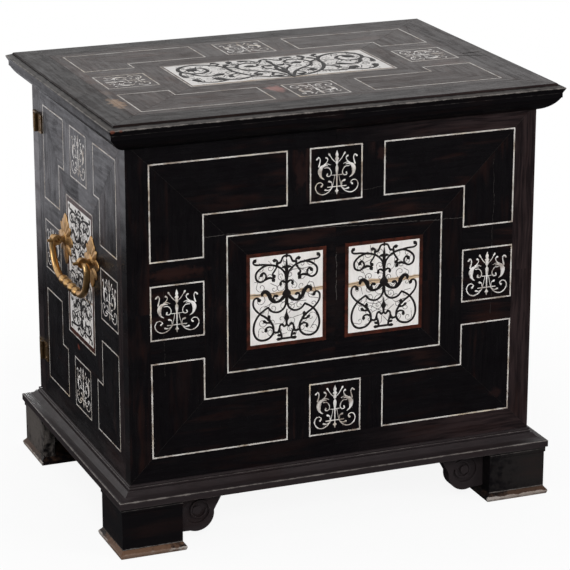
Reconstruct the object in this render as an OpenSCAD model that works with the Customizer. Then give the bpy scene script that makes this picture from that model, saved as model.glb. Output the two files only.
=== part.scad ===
// Ebonised table cabinet with flush bone inlay, two doors and two banks of drawers.
// The front, with the doors, faces -Y and the sides face -X and +X. Z is up.
// The origin is at the middle of the footprint, on the surface that the cabinet stands on.

/* [Body] */
// Width of the body over its two sides
body_w = 400; // [370:1:460]
// Depth of the body from the faces of the doors to the back
body_d = 282; // [265:1:320]
// Height of the body between the base moulding and the cornice
body_h = 313; // [300:1:350]
// Thickness of a side board
side_t = 16; // [14:0.5:18]
// Thickness of the back board
back_t = 14; // [11:0.5:17]
// Thickness of the boards that close the case at its top and bottom
board_t = 14; // [11:0.5:17]
// Thickness of the upright board between the two banks of drawers
partition_t = 10; // [8:0.5:14]
// Thickness of the boards between the drawers
dust_t = 7; // [5:0.5:9]

/* [Doors] */
// Thickness of a door
door_t = 18; // [17:0.5:20]
// Gap between a door and the case, at its back, top and bottom
door_gap = 0.5; // [0.4:0.1:0.8]
// Gap between the two doors where they meet
meeting_gap = 0.8; // [0.6:0.1:1.2]

/* [Hinges] */
// Height of a hinge
hinge_h = 18; // [15:0.5:24]
// Thickness of a hinge leaf
leaf_t = 1.5; // [1.2:0.1:1.8]
// Width of a hinge leaf from the middle of the pin
leaf_w = 13.7; // [11:0.1:14.5]
// Outer radius of the hinge barrels
barrel_r = 2.4; // [2.2:0.1:2.8]
// Radius of a hinge pin
hinge_pin_r = 1.2; // [1:0.1:1.3]
// Radial clearance of a hinge pin in its barrels
hinge_pin_fit = 0.05; // [0.03:0.01:0.08]
// Gap between two barrels of one hinge
knuckle_gap = 0.3; // [0.2:0.1:0.5]
// Distance from the top of the body down to the middle of the upper hinge
hinge_from_top = 36; // [30:1:60]
// Distance from the bottom of the body up to the middle of the lower hinge
hinge_from_bottom = 45.5; // [35:0.5:60]

/* [Lock] */
// Width of the lock on the inner face of the right door
lock_w = 36; // [30:1:44]
// Height of the lock
lock_h = 44; // [36:1:54]
// Thickness of the lock
lock_t = 6; // [5:0.5:8]
// Distance from the door's edge to the middle of the keyhole
keyhole_in = 9; // [8:0.5:10]
// Radius of the round part of the keyhole
keyhole_r = 1.9; // [1.5:0.1:2.2]
// Length of the slot below the round part
keyhole_slot = 5; // [4:0.5:6]
// Radius of the ends of the escutcheon
escutcheon_r = 5; // [4.2:0.1:6]
// Thickness of the escutcheon
escutcheon_t = 1; // [0.8:0.1:1.4]

/* [Drawers] */
// Distance of the drawer fronts behind the front edges of the case
drawer_setback = 16; // [15:0.5:18]
// Gap round a drawer in its opening
drawer_fit = 0.4; // [0.3:0.1:0.6]
// Gap behind a closed drawer
drawer_rear_gap = 0.8; // [0.5:0.1:0.9]
// Thickness of a drawer front
drawer_front_t = 9; // [7:0.5:12]
// Thickness of the sides and back of a drawer
drawer_wall_t = 6; // [5:0.5:8]
// Thickness of the bottom of a drawer
drawer_floor_t = 4; // [3:0.5:6]
// Height left free above the sides of a drawer
drawer_side_drop = 6; // [4:0.5:10]
// Radius of the ball of a drawer pull
pull_r = 4.5; // [3.5:0.1:5.5]
// Length of a drawer pull
pull_l = 12; // [11:0.5:13]
// Radius of the collar of a drawer pull
pull_collar_r = 4; // [3:0.1:5]
// Thickness of the collar of a drawer pull
pull_collar_t = 1.6; // [1.2:0.1:2]
// Radius of the neck of a drawer pull
pull_neck_r = 1.9; // [1.5:0.1:2.4]

/* [Cornice] */
// Height of the top board
top_h = 26.4; // [26:0.1:30]
// Height of the rebate under the top board that the cornice fills
top_rebate_h = 10; // [9.2:0.1:11]
// Overhang of the top board in the middle of the cornice
top_out = 14.6; // [14:0.1:15]
// Width of the small slope along the top board's edge
top_slope = 1.1; // [0.6:0.1:1.4]
// Width of the flat edge at the bottom of the cornice
ovolo_ledge = 0.4; // [0.2:0.1:0.8]
// Overhang of the rounded lower part of the cornice
ovolo_out = 16.9; // [16.4:0.1:17.2]
// Height of the rounded part
ovolo_up = 13.4; // [13:0.1:14]
// Radius of the rounded part
ovolo_r = 26; // [23:0.5:34]
// Overhang of the upright strip above the rounded part
strip_out = 17.7; // [17.5:0.1:18.2]
// Height of that strip
strip_h = 4.4; // [4:0.1:4.8]
// Height of the slope from the strip out to the arris
flare_h = 4.2; // [3.8:0.1:4.4]
// Overhang of the arris, the widest part of the cornice
arris_out = 20; // [19.4:0.1:20.6]
// Height of the upright edge at the arris
arris_h = 0.8; // [0.6:0.1:0.9]
// Height of the cornice beside the top board
lip_up = 24.7; // [24.3:0.1:25]
// Width of the cornice's flat top beside that board
lip_w = 0.6; // [0.4:0.1:1]

/* [Base moulding] */
// Height of the base moulding
base_h = 16.8; // [16:0.1:20]
// Overhang of the base moulding
base_out = 15.4; // [14.8:0.1:17]
// Width of the base moulding's lengths under the body
base_in = 28; // [20:1:40]
// Height of the upright strip at the bottom of the base moulding
base_strip_h = 6.1; // [5:0.1:6.6]
// Width of the ledge above that strip
base_ledge = 1.4; // [1:0.1:1.8]
// Height of the hollow in the base moulding
base_hollow_h = 5.7; // [5.2:0.1:6.2]
// Radius of the hollow in the base moulding
base_hollow_r = 11; // [8:0.5:16]
// Overhang of the top of that hollow
base_hollow_top = 4; // [3.6:0.1:4.6]
// Radius of the lower bead
low_bead_r = 1.3; // [1:0.1:1.4]
// Radius of the upper bead
high_bead_r = 1.1; // [0.9:0.1:1.2]
// Depth to which the beads are let into the body, and the height that their flanks lose
bead_sink = 0.2; // [0.1:0.05:0.4]

/* [Feet] */
// Height of a foot between its pad and the base moulding
foot_h = 40.7; // [39:0.1:48]
// Width of a foot across the front or the back
foot_w = 58; // [54:0.5:66]
// Length of a foot along the side
foot_l = 60; // [54:0.5:70]
// Overhang of the feet
foot_out = 12.9; // [11:0.1:14]
// Thickness of the block at the front or back of a foot
foot_block_t = 28; // [28:0.5:34]
// Thickness of the board along the side of a foot
foot_side_t = 12; // [9:0.5:16]
// Height of the strip along the top of a foot
foot_strip_h = 5.4; // [4:0.1:7]
// Projection of that strip
foot_strip_out = 0.9; // [0.5:0.1:1.4]
// Height of a foot pad
pad_h = 7.5; // [6.5:0.1:9]
// Projection of a foot pad at its widest
pad_out = 3.2; // [2.6:0.1:4]
// Projection of a foot pad at its bottom
pad_bottom_out = 2.3; // [1.6:0.1:2.5]

/* [Volute brackets] */
// Length of a bracket at its top
volute_l = 47; // [43:0.5:52]
// Thickness of a bracket
volute_t = 13; // [10:0.5:13]
// Distance of a bracket behind the face of its foot
volute_setback = 15; // [13:0.5:15]
// Radius of the scroll
volute_r = 16.8; // [15.5:0.1:17.4]
// Distance from the foot to the middle of the scroll
volute_mid = 19; // [18:0.1:20.4]
// Height of the middle of the scroll above the floor
volute_up = 26; // [25:0.1:27.5]
// Height of the bracket's bottom edge where it meets the foot
volute_root_up = 10.8; // [9:0.1:12]
// Radius of the round recess in the scroll
dish_r = 12.4; // [11:0.1:12.8]
// Depth of the recess
dish_depth = 2.5; // [1.5:0.1:4]
// Radius of the boss in the middle of the recess
boss_r = 4.3; // [3.5:0.1:4.8]
// Width of the raised band that curls round the boss
curl_w = 1.7; // [1.2:0.1:2]
// Radius of the wide half of the curl
curl_wide_r = 9; // [8.6:0.1:9.4]
// Radius of the narrow half of the curl
curl_narrow_r = 7.4; // [7.2:0.1:7.6]

/* [Carrying handles] */
// Height of a handle's pivots above the bottom of the body
handle_up = 182.5; // [160:0.5:205]
// Distance between the two eyes of a handle
eye_pitch = 80; // [70:1:90]
// Distance of an eye's middle from the side board
eye_reach = 9.6; // [9:0.1:11]
// Outer radius of an eye
eye_r = 4.8; // [4:0.1:5.4]
// Width of an eye
eye_w = 5.5; // [4.5:0.1:6.5]
// Radius of the handle's pins
bail_pin_r = 2.2; // [1.8:0.1:2.5]
// Radial clearance of a pin in its eye
bail_pin_fit = 0.08; // [0.03:0.01:0.1]
// Radius of the stem that carries an eye
stem_r = 3; // [2.6:0.1:3.4]
// Distance of the point's tip from the side board
point_reach = 18.5; // [17:0.1:20]
// Radius of that tip
point_r = 1.2; // [0.6:0.1:1.8]
// Radius of the handle's rod
bail_r = 2.6; // [2.3:0.1:3]
// Distance from an eye's middle to the bend above the rod's arm
bail_shoulder = 9; // [8.6:0.1:9.6]
// Distance that the arms spread beyond the shoulders
bail_spread = 5; // [3.4:0.1:5.2]
// Drop of the hanging handle below its pivots
bail_drop = 32.5; // [32.3:0.1:38]
// Radius of the handle's lower corners
bail_corner_r = 27; // [20:0.5:27]
// Radius of the small rings turned on the rod
ring_r = 1; // [0.7:0.1:1.2]
// Radius of the drum in the middle of the rod
drum_r = 3.6; // [3.2:0.1:4]
// Half the length of the drum
drum_half = 12.5; // [10:0.5:14]
// Distance from the end of the drum to the nearer ring on either side
ring_step = 4.5; // [3:0.5:6]
// Length of a handle plate from tip to tip
plate_h = 50; // [44:1:56]
// Width of a handle plate from tip to tip
plate_w = 45; // [38:1:50]
// Width of the upright leaf of a handle plate
leaf_across = 17; // [14:0.5:20]
// Width of the level leaf of a handle plate
leaf_level = 13; // [10:0.5:16]
// Radius of the disc in the middle of a handle plate
disc_r = 9.5; // [8.6:0.1:11]
// Thickness of a handle plate
plate_t = 1.2; // [0.8:0.1:1.6]

/* [Inlay] */
// Width of the inlaid lines
line_w = 1.3; // [1.1:0.1:1.6]
// Depth of the inlay
inlay_t = 1; // [0.8:0.1:1.4]
// Margin of the back's inlay from the sides of the body
back_margin = 21.2; // [18:0.1:26]
// Margin of the upright inlays from the top of the body
top_margin = 15.2; // [12:0.1:18]
// Margin of the upright inlays from the bottom of the body
bottom_margin = 22; // [18:0.1:26]
// Size of the back's squares
back_square = 51.5; // [46:0.1:54]
// Gap between the squares and the other lines on the back
back_space = 21.3; // [18:0.1:23]
// Width of a back plaque with its red border
back_plaque_w = 77.7; // [70:0.1:82]
// Height of a back plaque with its red border
back_plaque_h = 90.2; // [80:0.1:96]
// Distance between the middles of the two back plaques
back_plaque_pitch = 96.3; // [92:0.1:100]
// Width of the red border round a back plaque
back_border = 3.5; // [2.5:0.1:5]
// Margin of a side's inlay from the front edge of the side board
side_front_margin = 14.7; // [14.6:0.1:18]
// Margin of a side's inlay from the back of the body
side_back_margin = 26.8; // [22:0.1:30]
// Size of the squares on the sides
side_square = 49.5; // [44:0.1:52]
// Gap between the squares and the other lines on the sides
side_space = 20.6; // [17:0.1:22]
// Width of the red border on the sides
side_border = 4.4; // [3:0.1:6]
// Margin of the top's inlay from the edges of the top board
lid_margin = 38.6; // [34:0.1:42]
// Size of the squares on the top
lid_square = 50; // [44:0.1:52]
// Gap between the squares and the other lines on the top
lid_space = 23; // [18:0.1:24]
// Width of the border round the top's plaque
lid_border = 1.5; // [1:0.1:3]
// Margin of a door's inlay from its edges
door_margin = 16; // [15.5:0.1:20]
// Size of the squares on a door
door_square = 40; // [34:0.1:43]
// Gap between the squares and the other lines on a door
door_space = 16; // [13:0.1:18]
// Width of the red border on a door
door_border = 3.5; // [2.5:0.1:5]

/* [Hidden] */
SIDES = ["left", "right"];
ENDS = ["front", "back"];
ROWS = 4;

// Round parts are drawn fine, and cuts run past the faces that they cut
$fn = 96;
past = 1;
bone = "#e6dcc2";
ebony = "#1f1d20";
ebony_light = "#2a2629";
stain = "#6e2a1d";
gilt = "#8a6c3a";
iron = "#57524c";
oak = "#8d6a44";

// Heights of the main parts above the floor
foot_top = pad_h + foot_h;
body_bottom = foot_top + base_h;
body_top = body_bottom + body_h;
body_mid = (body_bottom + body_top) / 2;

// Planes of the case, and the half width and half depth of the body
half_w = body_w / 2;
half_d = body_d / 2;
case_front = -half_d + door_t + door_gap;
back_inner = half_d - back_t;
inner_front = case_front + drawer_setback;

// The axis of a hinge stands just clear of the side, in the gap behind the door
axis_clear = 0.1;
axis_x = half_w + barrel_r + axis_clear;
axis_y = case_front - door_gap / 2;
hinge_ups = [body_bottom + hinge_from_bottom, body_top - hinge_from_top];
knuckles = 3;

// One bay of drawers lies between the partition and a side board
bay_in = partition_t / 2;
bay_out = half_w - side_t;
bay_bottom = body_bottom + board_t;
bay_top = body_top - board_t;
opening_h = (bay_top - bay_bottom - (ROWS - 1) * dust_t) / ROWS;
drawer_w = bay_out - bay_in - 2 * drawer_fit;
drawer_h = opening_h - 2 * drawer_fit;
drawer_l = back_inner - drawer_rear_gap - inner_front;
function row_bottom(row) = bay_top - row * opening_h - (row - 1) * dust_t;

// Doors
door_w = half_w - meeting_gap / 2;
door_h = body_h - 2 * door_gap;
door_back = -half_d + door_t;
keyhole_x = meeting_gap / 2 + keyhole_in;

// Handles
handle_z = body_bottom + handle_up;
eye_x = half_w + eye_reach;

// Half sizes and middles of the inlay on each face: [half width, half height], [across, up]
upright_half = (body_h - top_margin - bottom_margin) / 2;
upright_mid = body_mid + (bottom_margin - top_margin) / 2;
back_half = [half_w - back_margin, upright_half];
side_ends = [case_front + side_front_margin, half_d - side_back_margin];
side_half = [(side_ends[1] - side_ends[0]) / 2, upright_half];
side_mid = (side_ends[0] + side_ends[1]) / 2;
lid_half = [half_w + top_out - lid_margin, half_d + top_out - lid_margin];
door_half = [door_w / 2 - door_margin, upright_half];
door_mid = meeting_gap / 2 + door_w / 2;

// Draws the right-hand piece as it is, or its mirror image on the left
module on_side(side) {
    mirror([side == "left" ? 1 : 0, 0, 0]) children();
}

// Draws the back piece as it is, or its mirror image at the front
module on_end(end) {
    mirror([0, end == "front" ? 1 : 0, 0]) children();
}

// A box between two opposite corners
module box(low, high) {
    translate(low) cube(high - low);
}

// Flat shapes of the inlay

// A rectangle between two opposite corners
module rect(low, high) {
    translate(low) square(high - low);
}

// A line along the inside of a rectangle's edges
module ring(low, high) {
    difference() {
        rect(low, high);
        rect(low + [line_w, line_w], high - [line_w, line_w]);
    }
}

// The L-shaped line in one corner, which leaves a space beside the squares
module corner_line(half, square, space) {
    start = square / 2 + space;
    difference() {
        union() {
            rect([start, half[1] - square], half);
            rect([half[0] - square, start], half);
        }
        rect([start + line_w, half[1] - square + line_w], half - [line_w, line_w]);
        rect([half[0] - square + line_w, start + line_w], half - [line_w, line_w]);
    }
}

// The lines round the middle frame of one face: four corners and four squares
module outer_lines(half, square, space) {
    for (x = [0, 1], y = [0, 1]) mirror([x, 0]) mirror([0, y]) corner_line(half, square, space);
    for (y = [0, 1]) mirror([0, y]) ring([-square / 2, half[1] - square], [square / 2, half[1]]);
    for (x = [0, 1]) mirror([x, 0]) ring([half[0] - square, -square / 2], [half[0], square / 2]);
}

// All the lines of one face
module face_lines(half, square, space) {
    outer_lines(half, square, space);
    ring(-frame_half(half, square, space), frame_half(half, square, space));
}

// The recess for the lines of one face whose plaque and border fill its middle frame
module filled_face(half, square, space) {
    outer_lines(half, square, space);
    rect(-frame_half(half, square, space), frame_half(half, square, space));
}

// Half size of the middle frame, and of what lies inside it at a distance
function frame_half(half, square, space) = half - [square + space, square + space];
function inside_half(half, square, space, border) =
    frame_half(half, square, space) - [line_w + border, line_w + border];

// The plaque in the middle frame, and the border that surrounds it
module middle_plaque(half, square, space, border) {
    inside = inside_half(half, square, space, border);
    rect(-inside, inside);
}

module middle_border(half, square, space, border) {
    difference() {
        middle_plaque(half, square, space, 0);
        middle_plaque(half, square, space, border);
    }
}

// The back has two plaques side by side in its middle frame
module pair_of_plaques(w, h) {
    for (x = [-1, 1]) translate([x * back_plaque_pitch / 2, 0]) square([w, h], center = true);
}

module back_plaques() {
    pair_of_plaques(back_plaque_w - 2 * back_border, back_plaque_h - 2 * back_border);
}

module back_borders() {
    difference() {
        pair_of_plaques(back_plaque_w, back_plaque_h);
        back_plaques();
    }
}

// Placing of a flat shape in each face, as deep as the inlay and past it by extra
module in_back(extra = 0) {
    translate([0, half_d - inlay_t, upright_mid])
        rotate([90, 0, 180]) linear_extrude(inlay_t + extra) children();
}

module in_side(extra = 0) {
    translate([half_w - inlay_t, side_mid, upright_mid])
        rotate([90, 0, 90]) linear_extrude(inlay_t + extra) children();
}

module in_top(extra = 0) {
    translate([0, 0, body_top + top_h - inlay_t]) linear_extrude(inlay_t + extra) children();
}

module in_door(extra = 0) {
    translate([door_mid, -half_d + inlay_t, upright_mid])
        rotate([90, 0, 0]) linear_extrude(inlay_t + extra) children();
}

// Case

module side_panel() {
    color(ebony) difference() {
        box([half_w - side_t, case_front, body_bottom], [half_w, back_inner, body_top]);
        in_side(past) filled_face(side_half, side_square, side_space);
    }
}

module back_panel() {
    color(ebony) difference() {
        box([-half_w, back_inner, body_bottom], [half_w, half_d, body_top]);
        in_back(past) face_lines(back_half, back_square, back_space);
        in_back(past) pair_of_plaques(back_plaque_w, back_plaque_h);
    }
}

module top_board() {
    color(ebony_light) box([-bay_out, case_front, bay_top], [bay_out, back_inner, body_top]);
}

module bottom_board() {
    color(ebony_light) box([-bay_out, case_front, body_bottom], [bay_out, back_inner, bay_bottom]);
}

module partition() {
    color(oak) box([-bay_in, inner_front, bay_bottom], [bay_in, back_inner, bay_top]);
}

module dust_boards() {
    color(oak) for (row = [1 : ROWS - 1])
        translate([bay_in, inner_front, row_bottom(row) - dust_t])
            cube([bay_out - bay_in, back_inner - inner_front, dust_t]);
}

// Mouldings

// A board with the same moulding on all its edges: its section across and its section lengthwise, crossed
module moulded_board() {
    intersection() {
        rotate([90, 0, 0]) linear_extrude(2 * body_d, center = true) children(0);
        rotate([90, 0, 90]) linear_extrude(2 * body_w, center = true) children(1);
    }
}

// Draws a flat shape at both edges of a section, with the body's face as its zero line
module at_edges(half) {
    for (way = [0, 1]) mirror([way, 0]) translate([half, 0]) children();
}

// The section between the points of one edge, drawn as [outward, upward], and their mirror image
module between_edges(half, edge) {
    last = len(edge) - 1;
    polygon(concat(
        [for (point = edge) [half + point[0], point[1]]],
        [for (number = [last : -1 : 0]) [-half - edge[number][0], edge[number][1]]]
    ));
}

module cornice_section(half) {
    strip_up = ovolo_up + strip_h;
    arris_up = strip_up + flare_h;
    between_edges(half, [
        [ovolo_ledge, 0], [ovolo_out, ovolo_up], [strip_out, ovolo_up], [strip_out, strip_up],
        [arris_out, arris_up], [arris_out, arris_up + arris_h], [top_out + lip_w, lip_up]
    ]);
    // The lower part swells beyond the straight line between its ends
    at_edges(half) intersection() {
        disc_beside([ovolo_out, ovolo_up], [ovolo_ledge, 0], ovolo_r);
        rect([0, 0], [strip_out, ovolo_up]);
    }
}

module cornice_frame() {
    color(ebony) translate([0, 0, body_top]) difference() {
        moulded_board() {
            cornice_section(half_w);
            cornice_section(half_d);
        }
        box([-half_w, -half_d, -past], [half_w, half_d, top_h]);
        box([-half_w - top_out, -half_d - top_out, top_rebate_h], [half_w + top_out, half_d + top_out, top_h]);
    }
}

// The disc whose edge passes through two points and whose middle lies to the right of the way between them
module disc_beside(from, to, r) {
    along = to - from;
    half = norm(along) / 2;
    out = [along[1], -along[0]] / norm(along);
    translate((from + to) / 2 + out * sqrt(r * r - half * half)) circle(r);
}

module top_panel() {
    edge = half_d + top_out;
    color(ebony) difference() {
        union() {
            box([-half_w, -half_d, body_top], [half_w, half_d, body_top + top_rebate_h]);
            // The upper part has a small slope along each edge
            translate([0, 0, body_top]) intersection() {
                rotate([90, 0, 0]) linear_extrude(2 * edge, center = true) sloped_section(half_w + top_out);
                rotate([90, 0, 90]) linear_extrude(2 * (half_w + top_out), center = true) sloped_section(edge);
            }
        }
        in_top(past) filled_face(lid_half, lid_square, lid_space);
    }
}

module sloped_section(half) {
    polygon([
        [-half, top_rebate_h], [half, top_rebate_h], [half, top_h - top_slope], [half - top_slope, top_h],
        [top_slope - half, top_h], [-half, top_h - top_slope]
    ]);
}

module base_section(half) {
    hollow_bottom = base_strip_h + base_ledge / 2;
    hollow_top = hollow_bottom + base_hollow_h;
    difference() {
        between_edges(half, [
            [base_out, 0], [base_out, base_strip_h], [base_out - base_ledge, hollow_bottom],
            [base_hollow_top, hollow_top], [0, hollow_top], [0, base_h]
        ]);
        at_edges(half)
            disc_beside([base_out - base_ledge, hollow_bottom], [base_hollow_top, hollow_top], base_hollow_r);
    }
    // Two small beads lie between the hollow and the body
    at_edges(half) {
        bead(low_bead_r, hollow_top + low_bead_r / 2);
        bead(high_bead_r, base_h - bead_sink - high_bead_r);
    }
}

// A bead whose flat flanks run back to the body
module bead(r, up) {
    out = r - bead_sink;
    translate([out, up]) circle(r);
    rect([-past, up - r + bead_sink], [out, up + r - bead_sink]);
}

module base_frame() {
    color(ebony) translate([0, 0, foot_top]) difference() {
        moulded_board() {
            base_section(half_w);
            base_section(half_d);
        }
        box([base_in - half_w, base_in - half_d, -past], [half_w - base_in, half_d - base_in, base_h + past]);
    }
}

// Feet

module foot() {
    x = half_w + foot_out;
    y = half_d + foot_out;
    strip = [foot_strip_out, foot_strip_out, 0];
    color(ebony) {
        box([x - foot_w, y - foot_block_t, pad_h], [x, y, foot_top]);
        box([x - foot_side_t, y - foot_l, pad_h], [x, y, foot_top]);
        box([x - foot_w, y - foot_block_t, foot_top - foot_strip_h], [x, y, foot_top] + strip);
        box([x - foot_side_t, y - foot_l, foot_top - foot_strip_h], [x, y, foot_top] + strip);
    }
}

// Half of a pad's section: widest near the middle of its height, and flush with the foot at its top
module pad_section(half) {
    polygon([
        [-half - pad_bottom_out, 0], [half + pad_bottom_out, 0], [half + pad_out, pad_h / 3],
        [half + pad_out, pad_h / 2], [half + pad_out / 3, pad_h * 0.8], [half, pad_h],
        [-half, pad_h], [-half - pad_out / 3, pad_h * 0.8], [-half - pad_out, pad_h / 2],
        [-half - pad_out, pad_h / 3]
    ]);
}

module foot_pad() {
    translate([half_w + foot_out - foot_w / 2, half_d + foot_out - foot_l / 2, 0]) intersection() {
        rotate([90, 0, 0]) linear_extrude(foot_l + 3 * pad_out, center = true) pad_section(foot_w / 2);
        rotate([90, 0, 90]) linear_extrude(foot_w + 3 * pad_out, center = true) pad_section(foot_l / 2);
    }
}

module foot_pads() {
    color(oak) for (end = ENDS, side = SIDES) on_end(end) on_side(side) foot_pad();
}

// The bracket's outline seen from behind: across from the foot, and height above the floor
module volute_outline() {
    shoulder = volute_r * 0.93;
    polygon([
        [0, foot_top], [volute_l, foot_top], [volute_mid + shoulder, volute_up],
        [volute_mid, volute_up - shoulder], [0, volute_root_up]
    ]);
    translate([volute_mid, volute_up]) circle(volute_r);
}

// Half a circle of raised band and a little more, drawn above the line through its middle
module half_band(r) {
    difference() {
        circle(r + curl_w / 2);
        circle(r - curl_w / 2);
        translate([-2 * r, -2 * r - curl_w / 4]) square([4 * r, 2 * r]);
    }
}

module volute_bracket() {
    // The recess lies a little above the middle of the scroll
    dish = [volute_mid, volute_up + volute_r - dish_r - curl_w / 2];
    inner = half_w + foot_out - foot_w;
    face = half_d + foot_out - volute_setback;
    translate([inner, face, 0]) rotate([90, 0, 0]) mirror([1, 0, 0]) difference() {
        linear_extrude(volute_t) volute_outline();
        translate([0, 0, -past]) linear_extrude(dish_depth + past) translate(dish) difference() {
            circle(dish_r);
            circle(boss_r);
            // The curl starts in the rim and ends beside the boss
            translate([dish_r - curl_wide_r, 0]) half_band(curl_wide_r);
            translate([dish_r - 2 * curl_wide_r + curl_narrow_r, 0]) rotate(180) half_band(curl_narrow_r);
        }
    }
}

module volute_brackets() {
    color(ebony) for (end = ENDS, side = SIDES) on_end(end) on_side(side) volute_bracket();
}

// Hinges: three barrels on a pin, the middle one on the door's leaf

// One knuckle of a hinge, numbered from the bottom, with its tongue towards the leaf
module knuckle(number, way) {
    step = hinge_h / knuckles;
    low = number * step + (number > 0 ? knuckle_gap / 2 : 0);
    high = (number + 1) * step - (number < knuckles - 1 ? knuckle_gap / 2 : 0);
    translate([0, 0, low]) cylinder(r = barrel_r, h = high - low);
    tongue = barrel_r + axis_clear;
    translate([-tongue, way > 0 ? barrel_r / 2 : -barrel_r / 2 - tongue, low])
        cube([leaf_t, tongue, high - low]);
}

// A leaf lies against the wood, and way says whether it runs towards the back or the front
module hinge_leaf(numbers, way) {
    near = barrel_r + knuckle_gap;
    difference() {
        union() {
            translate([-barrel_r - axis_clear, way > 0 ? near : -leaf_w, 0])
                cube([leaf_t, leaf_w - near, hinge_h]);
            for (number = numbers) knuckle(number, way);
        }
        translate([0, 0, -past]) cylinder(r = hinge_pin_r + hinge_pin_fit, h = hinge_h + 2 * past);
    }
}

module at_hinges() {
    for (up = hinge_ups) translate([axis_x, axis_y, up - hinge_h / 2]) children();
}

module hinge_case_leaves() {
    color(gilt) for (side = SIDES) on_side(side) at_hinges() hinge_leaf([0, 2], 1);
}

module hinge_door_leaves() {
    color(gilt) at_hinges() hinge_leaf([1], -1);
}

module hinge_pins() {
    color(iron) for (side = SIDES) on_side(side) at_hinges() cylinder(r = hinge_pin_r, h = hinge_h);
}

// Doors

module keyhole(grow = 0) {
    circle(keyhole_r + grow);
    translate([-keyhole_r / 2 - grow, -keyhole_slot - grow]) square([keyhole_r + 2 * grow, keyhole_slot + grow]);
}

// Places a flat shape round the keyhole, facing forwards, between two depths
module round_keyhole(front, back) {
    translate([keyhole_x, back, body_mid]) rotate([90, 0, 0]) linear_extrude(back - front) children();
}

module door(side) {
    color(ebony) difference() {
        box([meeting_gap / 2, -half_d, body_bottom + door_gap], [half_w, door_back, body_top - door_gap]);
        in_door(past) filled_face(door_half, door_square, door_space);
        if (side == "right") round_keyhole(-half_d - past, door_back + past) keyhole();
    }
}

module lock() {
    edge = meeting_gap / 2;
    color(iron) difference() {
        box([edge, door_back, body_mid - lock_h / 2], [edge + lock_w, door_back + lock_t, body_mid + lock_h / 2]);
        round_keyhole(door_back - past, door_back + lock_t / 2) keyhole();
    }
}

module keyhole_escutcheon() {
    color(bone) round_keyhole(-half_d - escutcheon_t, -half_d) difference() {
        union() {
            for (y = [-keyhole_slot, keyhole_slot]) translate([0, y]) circle(escutcheon_r);
            square([2 * escutcheon_r, 2 * keyhole_slot], center = true);
        }
        keyhole();
    }
}

// Drawers, numbered from the top

module drawer(row) {
    low = [bay_in + drawer_fit, inner_front, row_bottom(row) + drawer_fit];
    side_h = drawer_h - drawer_side_drop;
    color(oak) translate(low) {
        cube([drawer_w, drawer_front_t, drawer_h]);
        difference() {
            cube([drawer_w, drawer_l, side_h]);
            translate([drawer_wall_t, drawer_front_t, drawer_floor_t])
                cube([drawer_w - 2 * drawer_wall_t, drawer_l - drawer_front_t - drawer_wall_t, side_h]);
        }
    }
}

module pull(row) {
    neck_l = pull_l - pull_r;
    translate([(bay_in + bay_out) / 2, inner_front, row_bottom(row) + opening_h / 2])
        rotate([90, 0, 0]) color(bone) {
            cylinder(r = pull_collar_r, h = pull_collar_t);
            cylinder(r = pull_neck_r, h = neck_l);
            translate([0, 0, neck_l]) sphere(pull_r);
        }
}

// Carrying handles

// A leaf shape that is pointed at both ends
module pointed_leaf(length, width) {
    r = (length * length + width * width) / (4 * width);
    intersection_for (way = [-1, 1]) translate([0, way * (r - width / 2)]) circle(r);
}

module handle_plates() {
    color(gilt) for (y = [-1, 1]) translate([half_w, y * eye_pitch / 2, handle_z])
        rotate([90, 0, 90]) linear_extrude(plate_t) {
            rotate(90) pointed_leaf(plate_h, leaf_across);
            pointed_leaf(plate_w, leaf_level);
            circle(disc_r);
        }
}

module handle_posts() {
    color(gilt) for (y = [-1, 1]) translate([0, y * eye_pitch / 2, handle_z]) difference() {
        union() {
            translate([half_w + plate_t, 0, 0]) rotate([0, 90, 0]) cylinder(r = stem_r, h = eye_reach - plate_t);
            translate([eye_x, 0, 0]) rotate([90, 0, 0]) cylinder(r = eye_r, h = eye_w, center = true);
            translate([eye_x, 0, 0]) rotate([0, 90, 0])
                cylinder(r1 = eye_w / 2, r2 = point_r, h = point_reach - eye_reach);
        }
        translate([eye_x, 0, 0]) rotate([90, 0, 0])
            cylinder(r = bail_pin_r + bail_pin_fit, h = 2 * eye_w, center = true);
    }
}

// One end of the handle's rod, drawn with across as X and up as Y from the pivot line
module bail_end() {
    shoulder = eye_pitch / 2 + bail_shoulder;
    widest = shoulder + bail_spread;
    corner = [widest - bail_corner_r, -bail_drop + bail_corner_r];
    translate([eye_pitch / 2 - eye_w / 2, 0, 0]) rotate([0, 90, 0])
        cylinder(r = bail_pin_r, h = eye_w / 2 + bail_shoulder);
    translate([shoulder, -bail_spread, 0]) rod_bend(bail_spread, 0);
    translate([widest, -bail_spread, 0]) rotate([90, 0, 0]) cylinder(r = bail_r, h = -corner[1] - bail_spread);
    translate(corner) rod_bend(bail_corner_r, -90);
}

// A quarter turn of the rod, from a given angle on
module rod_bend(r, from) {
    rotate([0, 0, from]) rotate_extrude(angle = 90) translate([r, 0]) circle(bail_r);
}

// The level bar, turned in one piece: it swells to a drum between pairs of small rings
module bail_bar(half) {
    rotate_extrude() {
        polygon([
            [0, -half], [bail_r, -half], [drum_r, -drum_half], [drum_r, drum_half], [bail_r, half], [0, half]
        ]);
        for (way = [-1, 1], at = [drum_half, drum_half + ring_step, half - 2 * ring_r])
            translate([bail_r + (drum_r - bail_r) * min(1, (half - at) / (half - drum_half)), way * at])
                circle(ring_r, $fn = 48);
    }
}

module bail() {
    color(gilt) translate([eye_x, 0, handle_z]) rotate([90, 0, 90]) {
        bail_end();
        mirror([1, 0, 0]) bail_end();
        translate([0, -bail_drop, 0]) rotate([0, 90, 0])
            bail_bar(eye_pitch / 2 + bail_shoulder + bail_spread - bail_corner_r);
    }
}

// Inlay, flush with the faces that it is let into

module stringing_side() {
    color(bone) in_side() face_lines(side_half, side_square, side_space);
}

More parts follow.
